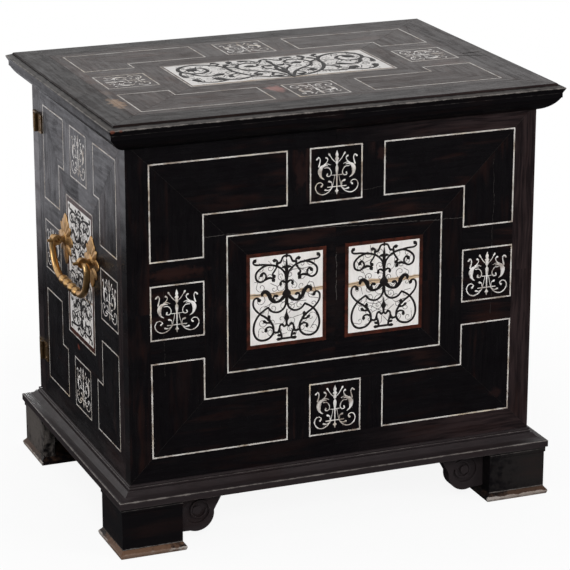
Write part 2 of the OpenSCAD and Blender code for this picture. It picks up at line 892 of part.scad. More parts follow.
module stringing_door() {
    color(bone) in_door() face_lines(door_half, door_square, door_space);
}

module plaque_door() {
    color(bone) in_door() middle_plaque(door_half, door_square, door_space, door_border);
}

module border_door() {
    color(stain) in_door() middle_border(door_half, door_square, door_space, door_border);
}

module stringing_back() {
    color(bone) in_back() face_lines(back_half, back_square, back_space);
}

module stringing_top() {
    color(bone) in_top() face_lines(lid_half, lid_square, lid_space);
}

module plaques_case() {
    color(bone) {
        in_back() back_plaques();
        in_top() middle_plaque(lid_half, lid_square, lid_space, lid_border);
        for (side = SIDES) on_side(side) in_side() middle_plaque(side_half, side_square, side_space, side_border);
    }
}

module borders_case() {
    color(stain) {
        in_back() back_borders();
        in_top() middle_border(lid_half, lid_square, lid_space, lid_border);
        for (side = SIDES) on_side(side) in_side() middle_border(side_half, side_square, side_space, side_border);
    }
}

back_panel();
top_board();
bottom_board();
partition();
base_frame();
cornice_frame();
top_panel();
foot_pads();
volute_brackets();
hinge_case_leaves();
hinge_pins();
lock();
keyhole_escutcheon();
stringing_back();
stringing_top();
plaques_case();
borders_case();
for (side = SIDES) {
    on_side(side) side_panel();
    on_side(side) dust_boards();
    on_side(side) bail();
    on_side(side) handle_plates();
    on_side(side) handle_posts();
    on_side(side) hinge_door_leaves();
    on_side(side) door(side);
    on_side(side) stringing_side();
    on_side(side) stringing_door();
    on_side(side) plaque_door();
    on_side(side) border_door();
    for (end = ENDS)
        on_end(end) on_side(side) foot();
    for (row = [1 : ROWS]) {
        on_side(side) drawer(row);
        on_side(side) pull(row);
    }
}
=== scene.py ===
"""Looks of the ebonised table cabinet: polished veneer, bone inlay with its ornament, gilt handles.

Sizes inside the functions are in millimetres, as a maker reads them, and become metres in the meshes.
"""

import bpy
import numpy as np
from bpy.props import FloatProperty, FloatVectorProperty, IntProperty, PointerProperty
from bpy.types import Operator, Panel, PropertyGroup
from mathutils import Matrix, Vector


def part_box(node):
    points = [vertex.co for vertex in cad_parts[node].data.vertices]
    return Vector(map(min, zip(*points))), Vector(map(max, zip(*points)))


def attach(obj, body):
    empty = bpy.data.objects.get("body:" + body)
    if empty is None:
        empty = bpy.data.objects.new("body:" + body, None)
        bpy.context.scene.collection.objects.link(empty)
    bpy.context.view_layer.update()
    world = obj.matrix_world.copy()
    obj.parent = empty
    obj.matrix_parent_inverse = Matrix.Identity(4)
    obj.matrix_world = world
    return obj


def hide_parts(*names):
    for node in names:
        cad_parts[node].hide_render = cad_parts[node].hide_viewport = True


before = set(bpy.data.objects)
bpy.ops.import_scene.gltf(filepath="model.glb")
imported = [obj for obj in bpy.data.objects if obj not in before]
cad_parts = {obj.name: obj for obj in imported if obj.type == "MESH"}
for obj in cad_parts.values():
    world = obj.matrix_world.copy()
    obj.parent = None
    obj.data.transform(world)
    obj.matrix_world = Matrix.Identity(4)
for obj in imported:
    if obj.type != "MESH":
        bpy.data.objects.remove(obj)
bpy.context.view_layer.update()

bl_info = {
    "name": "Table cabinet finish",
    "version": (1, 0, 0),
    "blender": (4, 5, 0),
    "location": "3D View > Sidebar > Cabinet",
    "description": "Finishes the packed table cabinet with its veneer, inlay, mounts and a plain stage",
    "category": "Object",
}

MM = 0.001


def node_box(node):
    """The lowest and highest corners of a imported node, in millimetres."""
    return [np.array(corner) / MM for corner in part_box(node)]


BODY_LOW, BODY_HIGH = node_box("back_panel")
HALF_W, HALF_D, BODY_TOP = (float(part) for part in BODY_HIGH)
BODY_BOTTOM = float(BODY_LOW[2])
TOP = node_box("top_panel")[1][2]
CORNICE_OUT = node_box("cornice_frame")[1][0] - HALF_W
# The cornice's widest arris lies this far under the top
ARRIS_UP = TOP - 4
# The pivots of the carrying handles
EYE_X = sum(corner[0] for corner in node_box("bail_right")) / 2
EYE_Z = float(sum(corner[2] for corner in node_box("handle_plates_right")) / 2)
EYE_Y = 40.0
SIDES = (("right", 1.0), ("left", -1.0))


# The six inlaid faces

LINE_W = 1.3


class Face:
    """One inlaid face: its middle on the outer surface, and its directions across, up and outwards.

    Its small squares, the space between them and the inner panel, and that panel's border are in millimetres.
    """

    def __init__(self, name, body, outward, square, space, border, up=(0, 0, 1)):
        self.name = name
        self.body = body
        self.outward = np.array(outward, float)
        self.up = np.array(up, float)
        self.across = np.cross(self.up, self.outward)
        low, high = node_box("stringing_" + name)
        self.middle = (low + high) / 2 + self.outward * np.dot(high - low, abs(self.outward)) / 2
        self.half = np.array([np.dot(high - low, abs(way)) / 2 for way in (self.across, self.up)])
        self.square = square
        self.space = space
        self.inner = self.half - square - space - LINE_W - border

    def spots(self):
        """The middles of the four squares."""
        reach = self.half - self.square / 2
        return {"up": (0, reach[1]), "down": (0, -reach[1]), "left": (-reach[0], 0), "right": (reach[0], 0)}

    def place(self, flat):
        """Points given as across, up and height above the face, as points of the cabinet in metres."""
        ways = np.stack([self.across, self.up, self.outward])
        return (self.middle + flat @ ways) * MM


FACES = {
    face.name: face
    for face in (
        Face("back", "case", (0, 1, 0), square=51.5, space=21.3, border=3.5),
        Face("side_left", "case", (-1, 0, 0), square=49.5, space=20.6, border=4.4),
        Face("side_right", "case", (1, 0, 0), square=49.5, space=20.6, border=4.4),
        Face("top", "case", (0, 0, 1), square=50, space=23, border=1.5, up=(0, -1, 0)),
        Face("door_left", "door_left_swing", (0, -1, 0), square=40, space=16, border=3.5),
        Face("door_right", "door_right_swing", (0, -1, 0), square=40, space=16, border=3.5),
    )
}
# The boards whose names differ from their faces'
VENEERED = {"back": "back_panel", "top": "top_panel"}
# How far the two plaques of the back lie from its middle
BACK_PLAQUE_AT = 48.15


# Short words for shader nodes


class Field:
    """A value that varies over a surface. Arithmetic on it puts nodes into its tree."""

    def __init__(self, tree, socket):
        self.tree = tree
        self.socket = socket

    def math(self, operation, *others):
        """Reckons with this field and others, or with numbers."""
        node = self.tree.nodes.new("ShaderNodeMath")
        node.operation = operation
        for slot, value in zip(node.inputs, (self,) + others):
            connect(value, slot)
        return Field(self.tree, node.outputs[0])

    def __add__(self, other):
        return self.math("ADD", other)

    def __sub__(self, other):
        return self.math("SUBTRACT", other)

    def __mul__(self, other):
        return self.math("MULTIPLY", other)

    def __abs__(self):
        return self.math("ABSOLUTE")

    def inverse(self):
        return (self * -1.0) + 1.0

    def over(self, limit):
        return self.math("GREATER_THAN", limit)

    def under(self, limit):
        return self.math("LESS_THAN", limit)

    def most(self, other):
        return self.math("MAXIMUM", other)

    def least(self, other):
        return self.math("MINIMUM", other)

    def ramp(self, low, high):
        """Rises smoothly from 0 at low to 1 at high, and falls where high is the smaller."""
        node = self.tree.nodes.new("ShaderNodeMapRange")
        node.interpolation_type = "SMOOTHSTEP"
        connect(self, node.inputs["Value"])
        for end, (place, value) in zip(("Min", "Max"), sorted(((low, 0.0), (high, 1.0)))):
            node.inputs["From " + end].default_value = place
            node.inputs["To " + end].default_value = value
        return Field(self.tree, node.outputs["Result"])

    def parts(self):
        """The three parts of a vector."""
        node = self.tree.nodes.new("ShaderNodeSeparateXYZ")
        connect(self, node.inputs[0])
        return [Field(self.tree, socket) for socket in node.outputs]

    def vector_math(self, operation, other=None, output="Value"):
        """Reckons with this field as a vector, and with a plain one where it is given."""
        node = self.tree.nodes.new("ShaderNodeVectorMath")
        node.operation = operation
        connect(self, node.inputs[0])
        if other is not None:
            node.inputs[1].default_value = tuple(other)
        return Field(self.tree, node.outputs[output])

    def size(self):
        """The length of a vector."""
        return self.vector_math("LENGTH")

    def distance(self, point):
        """How far a position lies from a point."""
        return self.vector_math("DISTANCE", point)

    def along(self, way, start=(0, 0, 0)):
        """How far a position lies from start in the direction way."""
        return self.vector_math("SUBTRACT", start, "Vector").vector_math("DOT_PRODUCT", way)


def connect(value, slot):
    """Links a field to a socket, or writes a plain value on it."""
    if isinstance(value, Field):
        value.tree.links.new(value.socket, slot)
    else:
        slot.default_value = value


def joined(x, y, z):
    """A vector from three fields or numbers, of which the first is a field."""
    node = x.tree.nodes.new("ShaderNodeCombineXYZ")
    for slot, value in zip(node.inputs, (x, y, z)):
        connect(value, slot)
    return Field(x.tree, node.outputs[0])


def noise(vector, scale, detail=3.0, roughness=0.5, distortion=0.0):
    """Soft random values about a half, from about 0 to 1."""
    node = vector.tree.nodes.new("ShaderNodeTexNoise")
    connect(vector, node.inputs["Vector"])
    values = {"Scale": scale, "Detail": detail, "Roughness": roughness, "Distortion": distortion}
    for label, value in values.items():
        node.inputs[label].default_value = value
    return Field(vector.tree, node.outputs[0])


def cells(vector, scale):
    """Distance to the nearest of scattered points."""
    node = vector.tree.nodes.new("ShaderNodeTexVoronoi")
    connect(vector, node.inputs["Vector"])
    node.inputs["Scale"].default_value = scale
    return Field(vector.tree, node.outputs["Distance"])


def mixed(amount, first, second):
    """A colour that goes from first to second with amount, a field."""
    node = amount.tree.nodes.new("ShaderNodeMix")
    node.data_type = "RGBA"
    connect(amount, node.inputs[0])
    for slot, value in ((node.inputs[6], first), (node.inputs[7], second)):
        connect(value if isinstance(value, Field) else (*value, 1.0)[:4], slot)
    return Field(amount.tree, node.outputs[2])


def position(tree):
    """The place on the cabinet, in millimetres."""
    coordinates = tree.nodes.new("ShaderNodeTexCoord")
    scaled = tree.nodes.new("ShaderNodeVectorMath")
    scaled.operation = "SCALE"
    tree.links.new(coordinates.outputs["Object"], scaled.inputs[0])
    scaled.inputs["Scale"].default_value = 1 / MM
    return Field(tree, scaled.outputs[0])


def shared(name, inputs, build):
    """A node group made once. Inputs are label, kind and default; build gives its outputs by label."""
    tree = bpy.data.node_groups.new(name, "ShaderNodeTree")
    for label, kind, default in inputs:
        socket = tree.interface.new_socket(name=label, in_out="INPUT", socket_type="NodeSocket" + kind)
        socket.default_value = default
    entry = tree.nodes.new("NodeGroupInput")
    results = build({label: Field(tree, entry.outputs[label]) for label, _kind, _default in inputs})
    leave = tree.nodes.new("NodeGroupOutput")
    kinds = {"VALUE": "Float", "RGBA": "Color", "VECTOR": "Vector"}
    for label, field in results.items():
        socket_type = "NodeSocket" + kinds[field.socket.type]
        tree.interface.new_socket(name=label, in_out="OUTPUT", socket_type=socket_type)
        tree.links.new(field.socket, leave.inputs[label])


def placed(name, values):
    """Puts a shared group into the tree of its field inputs and gives its outputs by label."""
    tree = next(value.tree for value in values.values() if isinstance(value, Field))
    node = tree.nodes.new("ShaderNodeGroup")
    node.node_tree = bpy.data.node_groups[name]
    for label, value in values.items():
        connect(value, node.inputs[label])
    return {socket.name: Field(tree, socket) for socket in node.outputs}


def finish(name, constants, build):
    """A material: constants go on its shader's own sockets, and build gives what varies, with a Height."""
    material = bpy.data.materials.new(name)
    material.use_nodes = True
    tree = material.node_tree
    shader = tree.nodes["Principled BSDF"]
    for label, value in constants.items():
        shader.inputs[label].default_value = value
    for label, field in build(position(tree)).items():
        if label == "Height":
            bump = tree.nodes.new("ShaderNodeBump")
            bump.inputs["Strength"].default_value = 1.0
            bump.inputs["Distance"].default_value = MM
            connect(field, bump.inputs["Height"])
            tree.links.new(bump.outputs[0], shader.inputs["Normal"])
        else:
            connect(field, shader.inputs[label])
    return material


# Effects that several finishes share


def wood_figure(i):
    """Brown streaks, ripples and fine pores, drawn out along the grain and bent a little.

    Each is noise whose grid is long along the grain and short across it, cut to a band by a ramp.
    """

    def drawn_out(across, along_scale, across_scale, shift, *look):
        """Noise with a scale along the grain and another across it, shifted from piece to piece."""
        grid = joined(i["Along"] * along_scale, across * across_scale, i["Seed"] * shift)
        return noise(grid, 1.0, *look)

    straight = i["Across"]
    bent = straight + (drawn_out(straight, 0.012, 0.03, 1.0, 2.0) * 9.0)
    streak = drawn_out(bent, 0.009, 0.085, 5.3, 4.0, 0.6, 0.4)
    cloud = drawn_out(straight, 0.02, 0.02, 3.1, 2.0)
    return {
        "Streak": (streak * (cloud + 0.5)).ramp(0.5, 0.74),
        "Fine": drawn_out(bent, 0.05, 1.6, 2.7, 3.0, 0.6).ramp(0.36, 0.66),
        "Pores": drawn_out(bent, 0.16, 3.4, 1.9, 2.0).ramp(0.62, 0.74),
        "Ripple": drawn_out(bent, 0.024, 0.33, 6.1, 3.0, 0.55).ramp(0.35, 0.65),
        "Warp": drawn_out(straight, 0.011, 0.035, 4.7, 2.0),
    }


# Half the width of a joint between two pieces of veneer, where it begins to show and where it is full
JOINT_WIDTH = (0.3, 0.14)


def veneer_layout(i):
    """Turns the grain from piece to piece, as mitred veneer is laid, and finds the joints."""
    u = abs(i["Across"])
    v = abs(i["Up"])
    past_u = u - i["Half width"]
    past_v = v - i["Half height"]
    depth = past_u.most(past_v)
    level = past_v.over(past_u)
    inside = depth.over(0.0).inverse()
    band = inside * (depth + i["Square"]).over(0.0)
    between = (depth + i["Square"] + i["Space"]).over(0.0)
    side = (u * level) + (v * level.inverse())
    beside = band * side.under((i["Square"] * 0.5) + i["Space"])
    piece = (inside * 2.3) + (band * 4.1) + (between * 1.7) + (level * 6.4) + (beside * 3.3)
    signs = (i["Across"].over(0.0) * 1.37) + (i["Up"].over(0.0) * 2.9)
    seed = piece + (signs * ((level * 0.9) + 1.0))
    mitre = abs(past_u - past_v).ramp(*JOINT_WIDTH)
    past_lipping = depth - i["Lipping"]
    tone = noise(joined(seed, 0.0, 0.0), 7.7, 0.0)
    other = noise(joined(seed, 5.0, 0.0), 6.1, 0.0)
    return {
        "Turned": abs(level - beside),
        "Seed": seed,
        "Joint": mitre.most(abs(past_lipping).ramp(*JOINT_WIDTH)),
        "Tone": tone,
        "Outer": depth.ramp(-0.5, 0.5),
        "Strip": past_lipping.ramp(-0.1, 0.1),
        "Tilt": (i["Across"] * (tone - 0.5)) + (i["Up"] * (other - 0.5)),
    }


def hairline(i):
    """A thin wandering crack: a narrow band round a line, tilted and shifted by noise, between two ends."""
    wander = noise(joined(i["Along"] * 0.035, i["Seed"], 0.0), 1.0, 4.0, 0.6) - 0.5
    away = abs(i["Across"] - i["Line"] - (i["Along"] * i["Tilt"]) + (wander * i["Wander"]))
    core = away.under(i["Width"])
    span = i["Along"].over(i["Start"]) * i["Along"].under(i["End"])
    broken = noise(joined(i["Along"] * 0.2, i["Seed"], 3.0), 1.0, 2.0).ramp(0.34, 0.46)
    return {"Crack": core * span * broken}


def worn_spot(i):
    """A soft patch with a ragged rim: falls off with distance from its middle, broken up by noise."""
    ragged = noise(i["Position"], 0.16, 4.0, 0.65) - 0.5
    reach = ((i["Distance"] * -1.0) + 1.0) + (ragged * 1.7)
    return {"Spot": reach.ramp(0.1, 0.7)}


def surface_dirt(i):
    """Dust that has settled in a veil and in specks, and greasy smears for the gloss."""
    veil = noise(i["Position"], 0.03, 4.0, 0.6).ramp(0.42, 0.8)
    specks = noise(i["Position"], 2.1, 2.0, 0.6).ramp(0.73, 0.8)
    smear = noise(i["Position"], 0.055, 3.0, 0.55, 0.8)
    return {"Veil": veil, "Specks": specks, "Smear": smear}


def arris_highlight(i):
    """Painted highlights, with rubbed wear, on the arrises: strongest on a line round the cabinet at one
    overhang and height, broken by noise.
    """
    x, y, z = i["Position"].parts()
    out = (abs(x) - HALF_W).most(abs(y) - HALF_D)
    away = ((out - i["Overhang"]).math("POWER", 2.0) + (z - i["Height"]).math("POWER", 2.0)).math("SQRT")
    ragged = noise(i["Position"], 0.12, 4.0, 0.65)
    return {"Wear": (away * -1.0 + (ragged * i["Reach"] * 2.0)).ramp(0.2, 1.4)}


def bone_figure(i):
    """Old bone: soft clouds, short dark pores along its length, and yellowing that gathers in patches."""
    long = joined(i["Along"] * 0.05, i["Across"] * 0.4, 1.0)
    cloud = noise(long, 1.0, 4.0, 0.55)
    pores = noise(joined(i["Along"] * 0.35, i["Across"] * 3.2, 4.0), 1.0, 2.0).ramp(0.66, 0.76)
    yellow = noise(joined(i["Along"], i["Across"], 7.0), 0.035, 4.0, 0.6).ramp(0.5, 0.78)
    return {"Cloud": cloud, "Pores": pores, "Yellow": yellow}


def metal_age(i):
    """Worn gilding: patina in broad clouds, small pits, and rubbed bright places."""
    cloud = noise(i["Position"], 0.11, 4.0, 0.6)
    pits = cells(i["Position"], 0.9).ramp(0.24, 0.05)
    rubbed = noise(i["Position"], 0.22, 3.0, 0.55).ramp(0.45, 0.7)
    grain = noise(i["Position"], 2.6, 3.0, 0.6)
    return {"Patina": cloud.ramp(0.42, 0.72), "Pits": pits, "Rubbed": rubbed, "Grain": grain}


def make_shared_groups():
    """Each group with its inputs: vectors and floats, the latter with a start value."""
    for name, build, takes_place, labels, start in (
        ("Wood figure", wood_figure, False, ("Along", "Across", "Seed"), 0.0),
        ("Veneer layout", veneer_layout, False,
         ("Across", "Up", "Half width", "Half height", "Square", "Space", "Lipping"), 0.0),
        ("Hairline crack", hairline, False,
         ("Along", "Across", "Line", "Tilt", "Start", "End", "Wander", "Width", "Seed"), 0.0),
        ("Worn spot", worn_spot, True, ("Distance",), 0.0),
        ("Surface dirt", surface_dirt, True, (), 0.0),
        ("Arris wear", arris_highlight, True, ("Overhang", "Height", "Reach"), 1.0),
        ("Bone figure", bone_figure, False, ("Along", "Across"), 0.0),
        ("Metal age", metal_age, True, (), 0.0),
    ):
        place = [("Position", "Vector", (0.0, 0.0, 0.0))] if takes_place else []
        shared(name, place + [(label, "Float", start) for label in labels], build)


# Finishes

# Level cracks (1) and upright ones (0): line, tilt, start, end, wander, half width and seed
CRACKS = {
    "back": (
        (1, 61.8, -0.04, -126, 128, 7, 0.22, 2.1),
        (0, 0.6, 0, -8, 38, 9, 0.28, 5.0),
        (1, 94, 0, -20, 50, 12, 0.1, 8.0),
        (0, 158, 0, -40, 110, 6, 0.12, 3.4),
        (0, -166, 0, -60, 20, 6, 0.1, 9.2),
        (0, 84, 0, -48, -20, 3, 0.12, 6.1),
    ),
    "top": (
        (1, 46, -0.35, 178, 206, 6, 0.9, 1.3),
        (1, -29, 0.1, 186, 207, 4, 1.1, 4.4),
        (0, 150, 0.3, 60, 130, 6, 0.16, 6.2),
        (1, 100, 0, -150, 20, 8, 0.1, 7.1),
    ),
    "side_right": ((0, -90, 0, -20, 100, 6, 0.12, 2.2),),
    "side_left": ((0, 84, 0, -70, 60, 6, 0.12, 4.2),),
    "door_left": ((0, 60, 0, -80, 60, 8, 0.12, 6.6),),
    "door_right": ((0, -64, 0, -40, 110, 8, 0.12, 7.7),),
}
# Places where the finish is worn: across, up, half width, half height, colour and strength
SPOTS = {
    "back": (
        (166, -120, 9, 7, (0.02, 0.009, 0.008), 0.5),
        (-152, 36, 34, 8, (0.024, 0.0095, 0.0075), 0.6),
        (-35, 116, 9, 24, (0.02, 0.009, 0.008), 0.6),
        (45, 126, 6, 12, (0.024, 0.0105, 0.009), 0.6),
        (0, 0, 12, 60, (0.009, 0.006, 0.006), 0.6),
    ),
    "top": (
        (-186, -80, 9, 26, (0.32, 0.20, 0.12), 0.75),
        (-182, -40, 6, 14, (0.12, 0.08, 0.06), 0.6),
        (-35, -79, 11, 18, (0.30, 0.12, 0.10), 0.8),
        (-90, 128, 60, 14, (0.05, 0.033, 0.028), 0.6),
        (120, 60, 50, 30, (0.03, 0.02, 0.017), 0.6),
    ),
    "side_right": (
        (-11.7, -75.6, 5, 4, (0.13, 0.03, 0.018), 0.8),
        (62, 12, 12, 6, (0.10, 0.06, 0.035), 0.5),
        (-52, 20, 14, 10, (0.05, 0.035, 0.022), 0.5),
    ),
    "side_left": ((30, 60, 14, 8, (0.06, 0.022, 0.014), 0.6),),
    "door_left": ((20, -100, 16, 10, (0.06, 0.022, 0.014), 0.5),),
    "door_right": ((-70, 4, 14, 30, (0.07, 0.035, 0.022), 0.6),),
}
# How far outside the inlay a joint runs round the top, beside its edge strip; nowhere on the other faces
LIPPING = {"top": 10.5}
NO_LIPPING = 500.0
# How much of the lacquer is left, where it isn't whole
LACQUER = {"top": 0.7, "side_left": 0.85, "side_right": 0.85}


def worn_patch(colour, place, distance, patch, strength):
    """Lays a patch of another colour over one. It is whole at distance 0 and ends raggedly at 1."""
    spot = placed("Worn spot", {"Position": place, "Distance": distance})["Spot"]
    return mixed(spot * strength, colour, patch)


def cracks_of(face, across, up):
    """The cracks of a face, as a mask."""
    cracks = None
    labels = ("Line", "Tilt", "Start", "End", "Wander", "Width", "Seed")
    for level, *sizes in CRACKS[face.name]:
        along, over = (across, up) if level else (up, across)
        values = {"Along": along, "Across": over, **dict(zip(labels, sizes))}
        crack = placed("Hairline crack", values)["Crack"]
        cracks = crack if cracks is None else cracks.most(crack)
    return cracks


def veneer(face, wood):
    """Black-stained veneer in mitred pieces: near black, streaked brown, pale in its joints and cracks."""
    faded = face.name == "top"
    black = wood.faded if faded else wood.black
    brown = wood.faded_brown if faded else wood.brown
    gap = wood.black if faded else wood.joint

    def build(place):
        across = place.along(face.across, face.middle)
        up = place.along(face.up, face.middle)
        layout = placed("Veneer layout", {
            "Across": across,
            "Up": up,
            "Half width": float(face.half[0]),
            "Half height": float(face.half[1]),
            "Square": face.square,
            "Space": face.space,
            "Lipping": LIPPING.get(face.name, NO_LIPPING),
        })
        turned = layout["Turned"]
        along_grain = (across * turned) + (up * turned.inverse())
        across_grain = (up * turned) + (across * turned.inverse())
        figure = placed("Wood figure", {"Along": along_grain, "Across": across_grain, "Seed": layout["Seed"]})
        dirt = placed("Surface dirt", {"Position": place})
        ripple = figure["Ripple"]
        shown = figure["Streak"] * (layout["Tone"].ramp(0.3, 0.62) + 0.25).least(1.0)
        colour = mixed(shown, black, brown)
        colour = mixed(figure["Fine"] * 0.4, colour, wood.fine)
        colour = mixed(layout["Strip"] * 0.7, colour, wood.black)
        # Painted sheen: the outer border lightens towards one side of each face, in its ripples
        rubbed = across.ramp(0.0, 160.0) * layout["Outer"] * ((ripple * 0.7) + 0.25)
        colour = mixed(rubbed, colour, wood.rubbed)
        colour = mixed(dirt["Specks"] * 0.12, colour, wood.dust)
        for a, b, wide, tall, patch, strength in SPOTS[face.name]:
            distance = joined((across - a) * (1 / wide), (up - b) * (1 / tall), 0.0).size()
            colour = worn_patch(colour, place, distance, patch, strength)
        open_cracks = cracks_of(face, across, up)
        cracks = (layout["Joint"] * 0.3).most(open_cracks)
        shut = layout["Joint"].most(open_cracks)
        colour = mixed(cracks * 0.7, colour, gap)
        rough = (dirt["Smear"] * 0.3) + (figure["Fine"] * 0.1) + (wood.polish - 0.15) + (cracks * 0.5)
        lacquer = (dirt["Smear"].ramp(0.35, 0.65) * 0.3) + (ripple * 0.3)
        lacquer = lacquer + (layout["Tone"].ramp(0.3, 0.7) * 0.2)
        lacquer = (lacquer - (figure["Pores"] * 0.15) - (layout["Strip"] * 0.12)).most(0.02)
        lacquer = lacquer * shut.inverse() * (wood.lacquer * LACQUER.get(face.name, 1.0))
        height = (figure["Pores"] * -0.03) + (figure["Fine"] * 0.02) + (shut * -0.25) + (ripple * 0.05)
        height = height + (dirt["Smear"] * 0.06) + (figure["Warp"] * 0.9) + (layout["Tilt"] * 0.09)
        return {"Base Color": colour, "Roughness": rough, "Coat Weight": lacquer, "Height": height}

    sheen = {"Specular IOR Level": wood.gloss * 0.3, "Coat Roughness": 0.22}
    return finish("veneer_" + face.name, sheen, build)


# Painted highlights, with rubbed wear, along lines round the mouldings and feet: overhang, height, reach and
# strength
ARRIS_HIGHLIGHTS = {
    "moulding_cornice": (
        (CORNICE_OUT - 0.2, ARRIS_UP + 0.6, 1.3, 0.4),
        (15, TOP - 1.4, 0.8, 0.35),
        (17.5, BODY_TOP + 17.8, 0.7, 0.2),
        (17.4, TOP - 2.6, 2.2, 0.13),
    ),
    "moulding_base": (
        (15.2, BODY_BOTTOM - 10.6, 1.2, 0.4),
        (15.4, BODY_BOTTOM - 16.8, 0.8, 0.15),
        (1.8, BODY_BOTTOM - 2.6, 0.8, 0.3),
    ),
    "wood_feet": ((12.9, 8, 1.2, 0.3), (13.8, 46, 0.8, 0.3)),
    "wood_volutes": ((1, 30, 3, 0.1),),
    "wood_pads": ((16.1, 3, 2.2, 0.8), (15.2, 0.5, 2, 0.7)),
}
# The cornice's right back corner
CORNER_X = HALF_W + CORNICE_OUT
CORNER_Y = HALF_D + CORNICE_OUT
# Patches on the mouldings and feet: chips in that corner, dust and wear low down, and a grey patch of dust
# and painted sheen over the right front foot. Each is given by its middle, reach and strength
PATCHES = {
    "moulding_cornice": (
        ((CORNER_X - 3, CORNER_Y, ARRIS_UP), 2.6, 0.8),
        ((CORNER_X - 11, CORNER_Y, ARRIS_UP), 2, 0.6),
    ),
    # The first is dust and painted sheen: pale grey over the whole right front foot; the second is faint dust
    "wood_feet": (((HALF_W + 18, 16 - HALF_D, 34), 56, 1.0), ((-HALF_W, HALF_D + 12, 30), 60, 0.1)),
    "wood_pads": (
        *(((x * HALF_W, y * HALF_D, 3), 62, 0.4) for x in (-1, 1) for y in (-1, 1)),
        ((HALF_W, HALF_D + 12, 4), 60, 0.8),
    ),
}


def moulding_black(name, wood, ground, shine, patch):
    """Black polished moulding with its grain along each length, a pale painted highlight with rubbed wear
    along its arrises, and patches laid over it.
    """

    def build(place):
        x, y, z = place.parts()
        beside = (abs(x) - HALF_W).over(abs(y) - HALF_D)
        along_grain = (y * beside) + (x * beside.inverse())
        across_grain = (x * beside) + (y * beside.inverse()) + z
        seed = (beside * 3.0) + (x.over(0.0) * 1.7) + (y.over(0.0) * 2.3)
        figure = placed("Wood figure", {"Along": along_grain, "Across": across_grain, "Seed": seed})
        dirt = placed("Surface dirt", {"Position": place})
        colour = mixed(figure["Streak"] * 0.4, ground, wood.brown)
        colour = mixed(figure["Fine"] * 0.3, colour, wood.fine)
        # Pale lines along the arrises: painted highlights, with rubbed wear
        for overhang, height, reach, strength in ARRIS_HIGHLIGHTS[name]:
            values = {"Overhang": overhang, "Height": height, "Reach": reach}
            worn = placed("Arris wear", {"Position": place, **values})["Wear"]
            colour = mixed(worn * strength, colour, wood.worn)
        for at, reach, strength in PATCHES.get(name, ()):
            colour = worn_patch(colour, place, place.distance(at) * (1 / reach), patch, strength)
        colour = mixed(dirt["Specks"] * 0.15, colour, wood.dust)
        rough = (dirt["Smear"] * 0.25) + (figure["Fine"] * 0.06) + (wood.polish - 0.08)
        height = (figure["Pores"] * -0.03) + (figure["Fine"] * 0.01) + (dirt["Smear"] * 0.08)
        return {"Base Color": colour, "Roughness": rough, "Height": height}

    return finish(name, {"Specular IOR Level": wood.gloss * shine}, build)


def shade(colour, share):
    """A darker share of a colour."""
    return tuple(part * share for part in colour)


def plain_wood(name, light, dark, rough_base, level=False):
    """Inside wood, plain or stained. Its grain runs from front to back, or across where it is level."""

    def build(place):
        x, y, z = place.parts()
        across_grain = (z + (y * 0.6)) if level else (x + (z * 0.7))
        figure = placed("Wood figure", {"Along": x if level else y, "Across": across_grain, "Seed": 4.2})
        dirt = placed("Surface dirt", {"Position": place})
        colour = mixed(figure["Streak"], light, dark)
        colour = mixed(figure["Fine"] * 0.4, colour, dark)
        colour = mixed(figure["Pores"] * 0.6, colour, shade(dark, 0.3))
        colour = mixed(dirt["Veil"] * 0.35, colour, shade(light, 0.6))
        height = (figure["Pores"] * -0.04) + (figure["Fine"] * 0.02)
        return {"Base Color": colour, "Roughness": (dirt["Smear"] * 0.2) + rough_base, "Height": height}

    return finish(name, {"Specular IOR Level": 0.35}, build)


# How far the back's plaques reach from its middle, with a little over
PLAQUE_REACH = BACK_PLAQUE_AT + 36
# Mended cracks of the plaques: face, height, ends and the reach of the old glue
MENDS = (
    ("back", 6.4, -PLAQUE_REACH, -12, 4.6),
    ("back", 6.0, 12, PLAQUE_REACH, 5.2),
    ("side_right", -19, -35, 35, 2.0),
    ("side_left", 12, -35, 35, 2.0),
    ("top", -39.6, -100, 100, 2.6),
)


def mended(colour, place, bone):
    """Cracks with brown glue beside them, laid over a colour. Gives the new colour and the cracks' mask."""
    cracks = None
    for name, line, start, end, glue in MENDS:
        face = FACES[name]
        across = place.along(face.across, face.middle)
        up = place.along(face.up, face.middle)
        on_face = abs(place.along(face.outward, face.middle)).under(3.0)
        wander = noise(joined(across * 0.045, line, 0.0), 1.0, 3.0) - 0.5
        off = up - line + (wander * 5.0)
        span = across.ramp(start, start + 0.5) * across.ramp(end, end - 0.5) * on_face
        ragged = noise(joined(across, up, line), 0.09, 4.0, 0.6)
        glued = ((abs(off + 1.0) * -1.0) + (ragged * glue)).ramp(-0.4, 1.0) * span
        colour = mixed(glued * 0.75, colour, bone.glue)
        crack = abs(off).under(0.3) * span
        colour = mixed(crack * 0.85, colour, bone.crack)
        cracks = crack if cracks is None else cracks.most(crack)
    return colour, cracks


def old_bone(name, bone, ground, yellow_share, dirt_share, cracked=False):
    """Polished bone, yellowed and dirty in places, and cracked and mended where it is a plaque."""

    def build(place):
        x, y, z = place.parts()
        figure = placed("Bone figure", {"Along": z + (x * 0.3), "Across": x + (y * 0.9)})
        dirt = placed("Surface dirt", {"Position": place})
        grime = noise(place, 0.07, 4.0, 0.65)
        colour = mixed(figure["Cloud"].ramp(0.35, 0.7) * 0.6, ground, shade(ground, 0.87))
        colour = mixed(figure["Yellow"] * yellow_share, colour, bone.yellow)
        colour = mixed(grime.ramp(0.42, 0.68) * dirt_share, colour, bone.grime)
        colour = mixed(figure["Pores"] * 0.3, colour, bone.pore)
        height = (figure["Pores"] * -0.02) + (dirt["Smear"] * 0.05)
        if cracked:
            colour, cracks = mended(colour, place, bone)
            height = height - (cracks * 0.15)
        return {"Base Color": colour, "Roughness": (dirt["Smear"] * 0.2) + 0.3, "Height": height}

    return finish(name, {"Specular IOR Level": 0.35}, build)


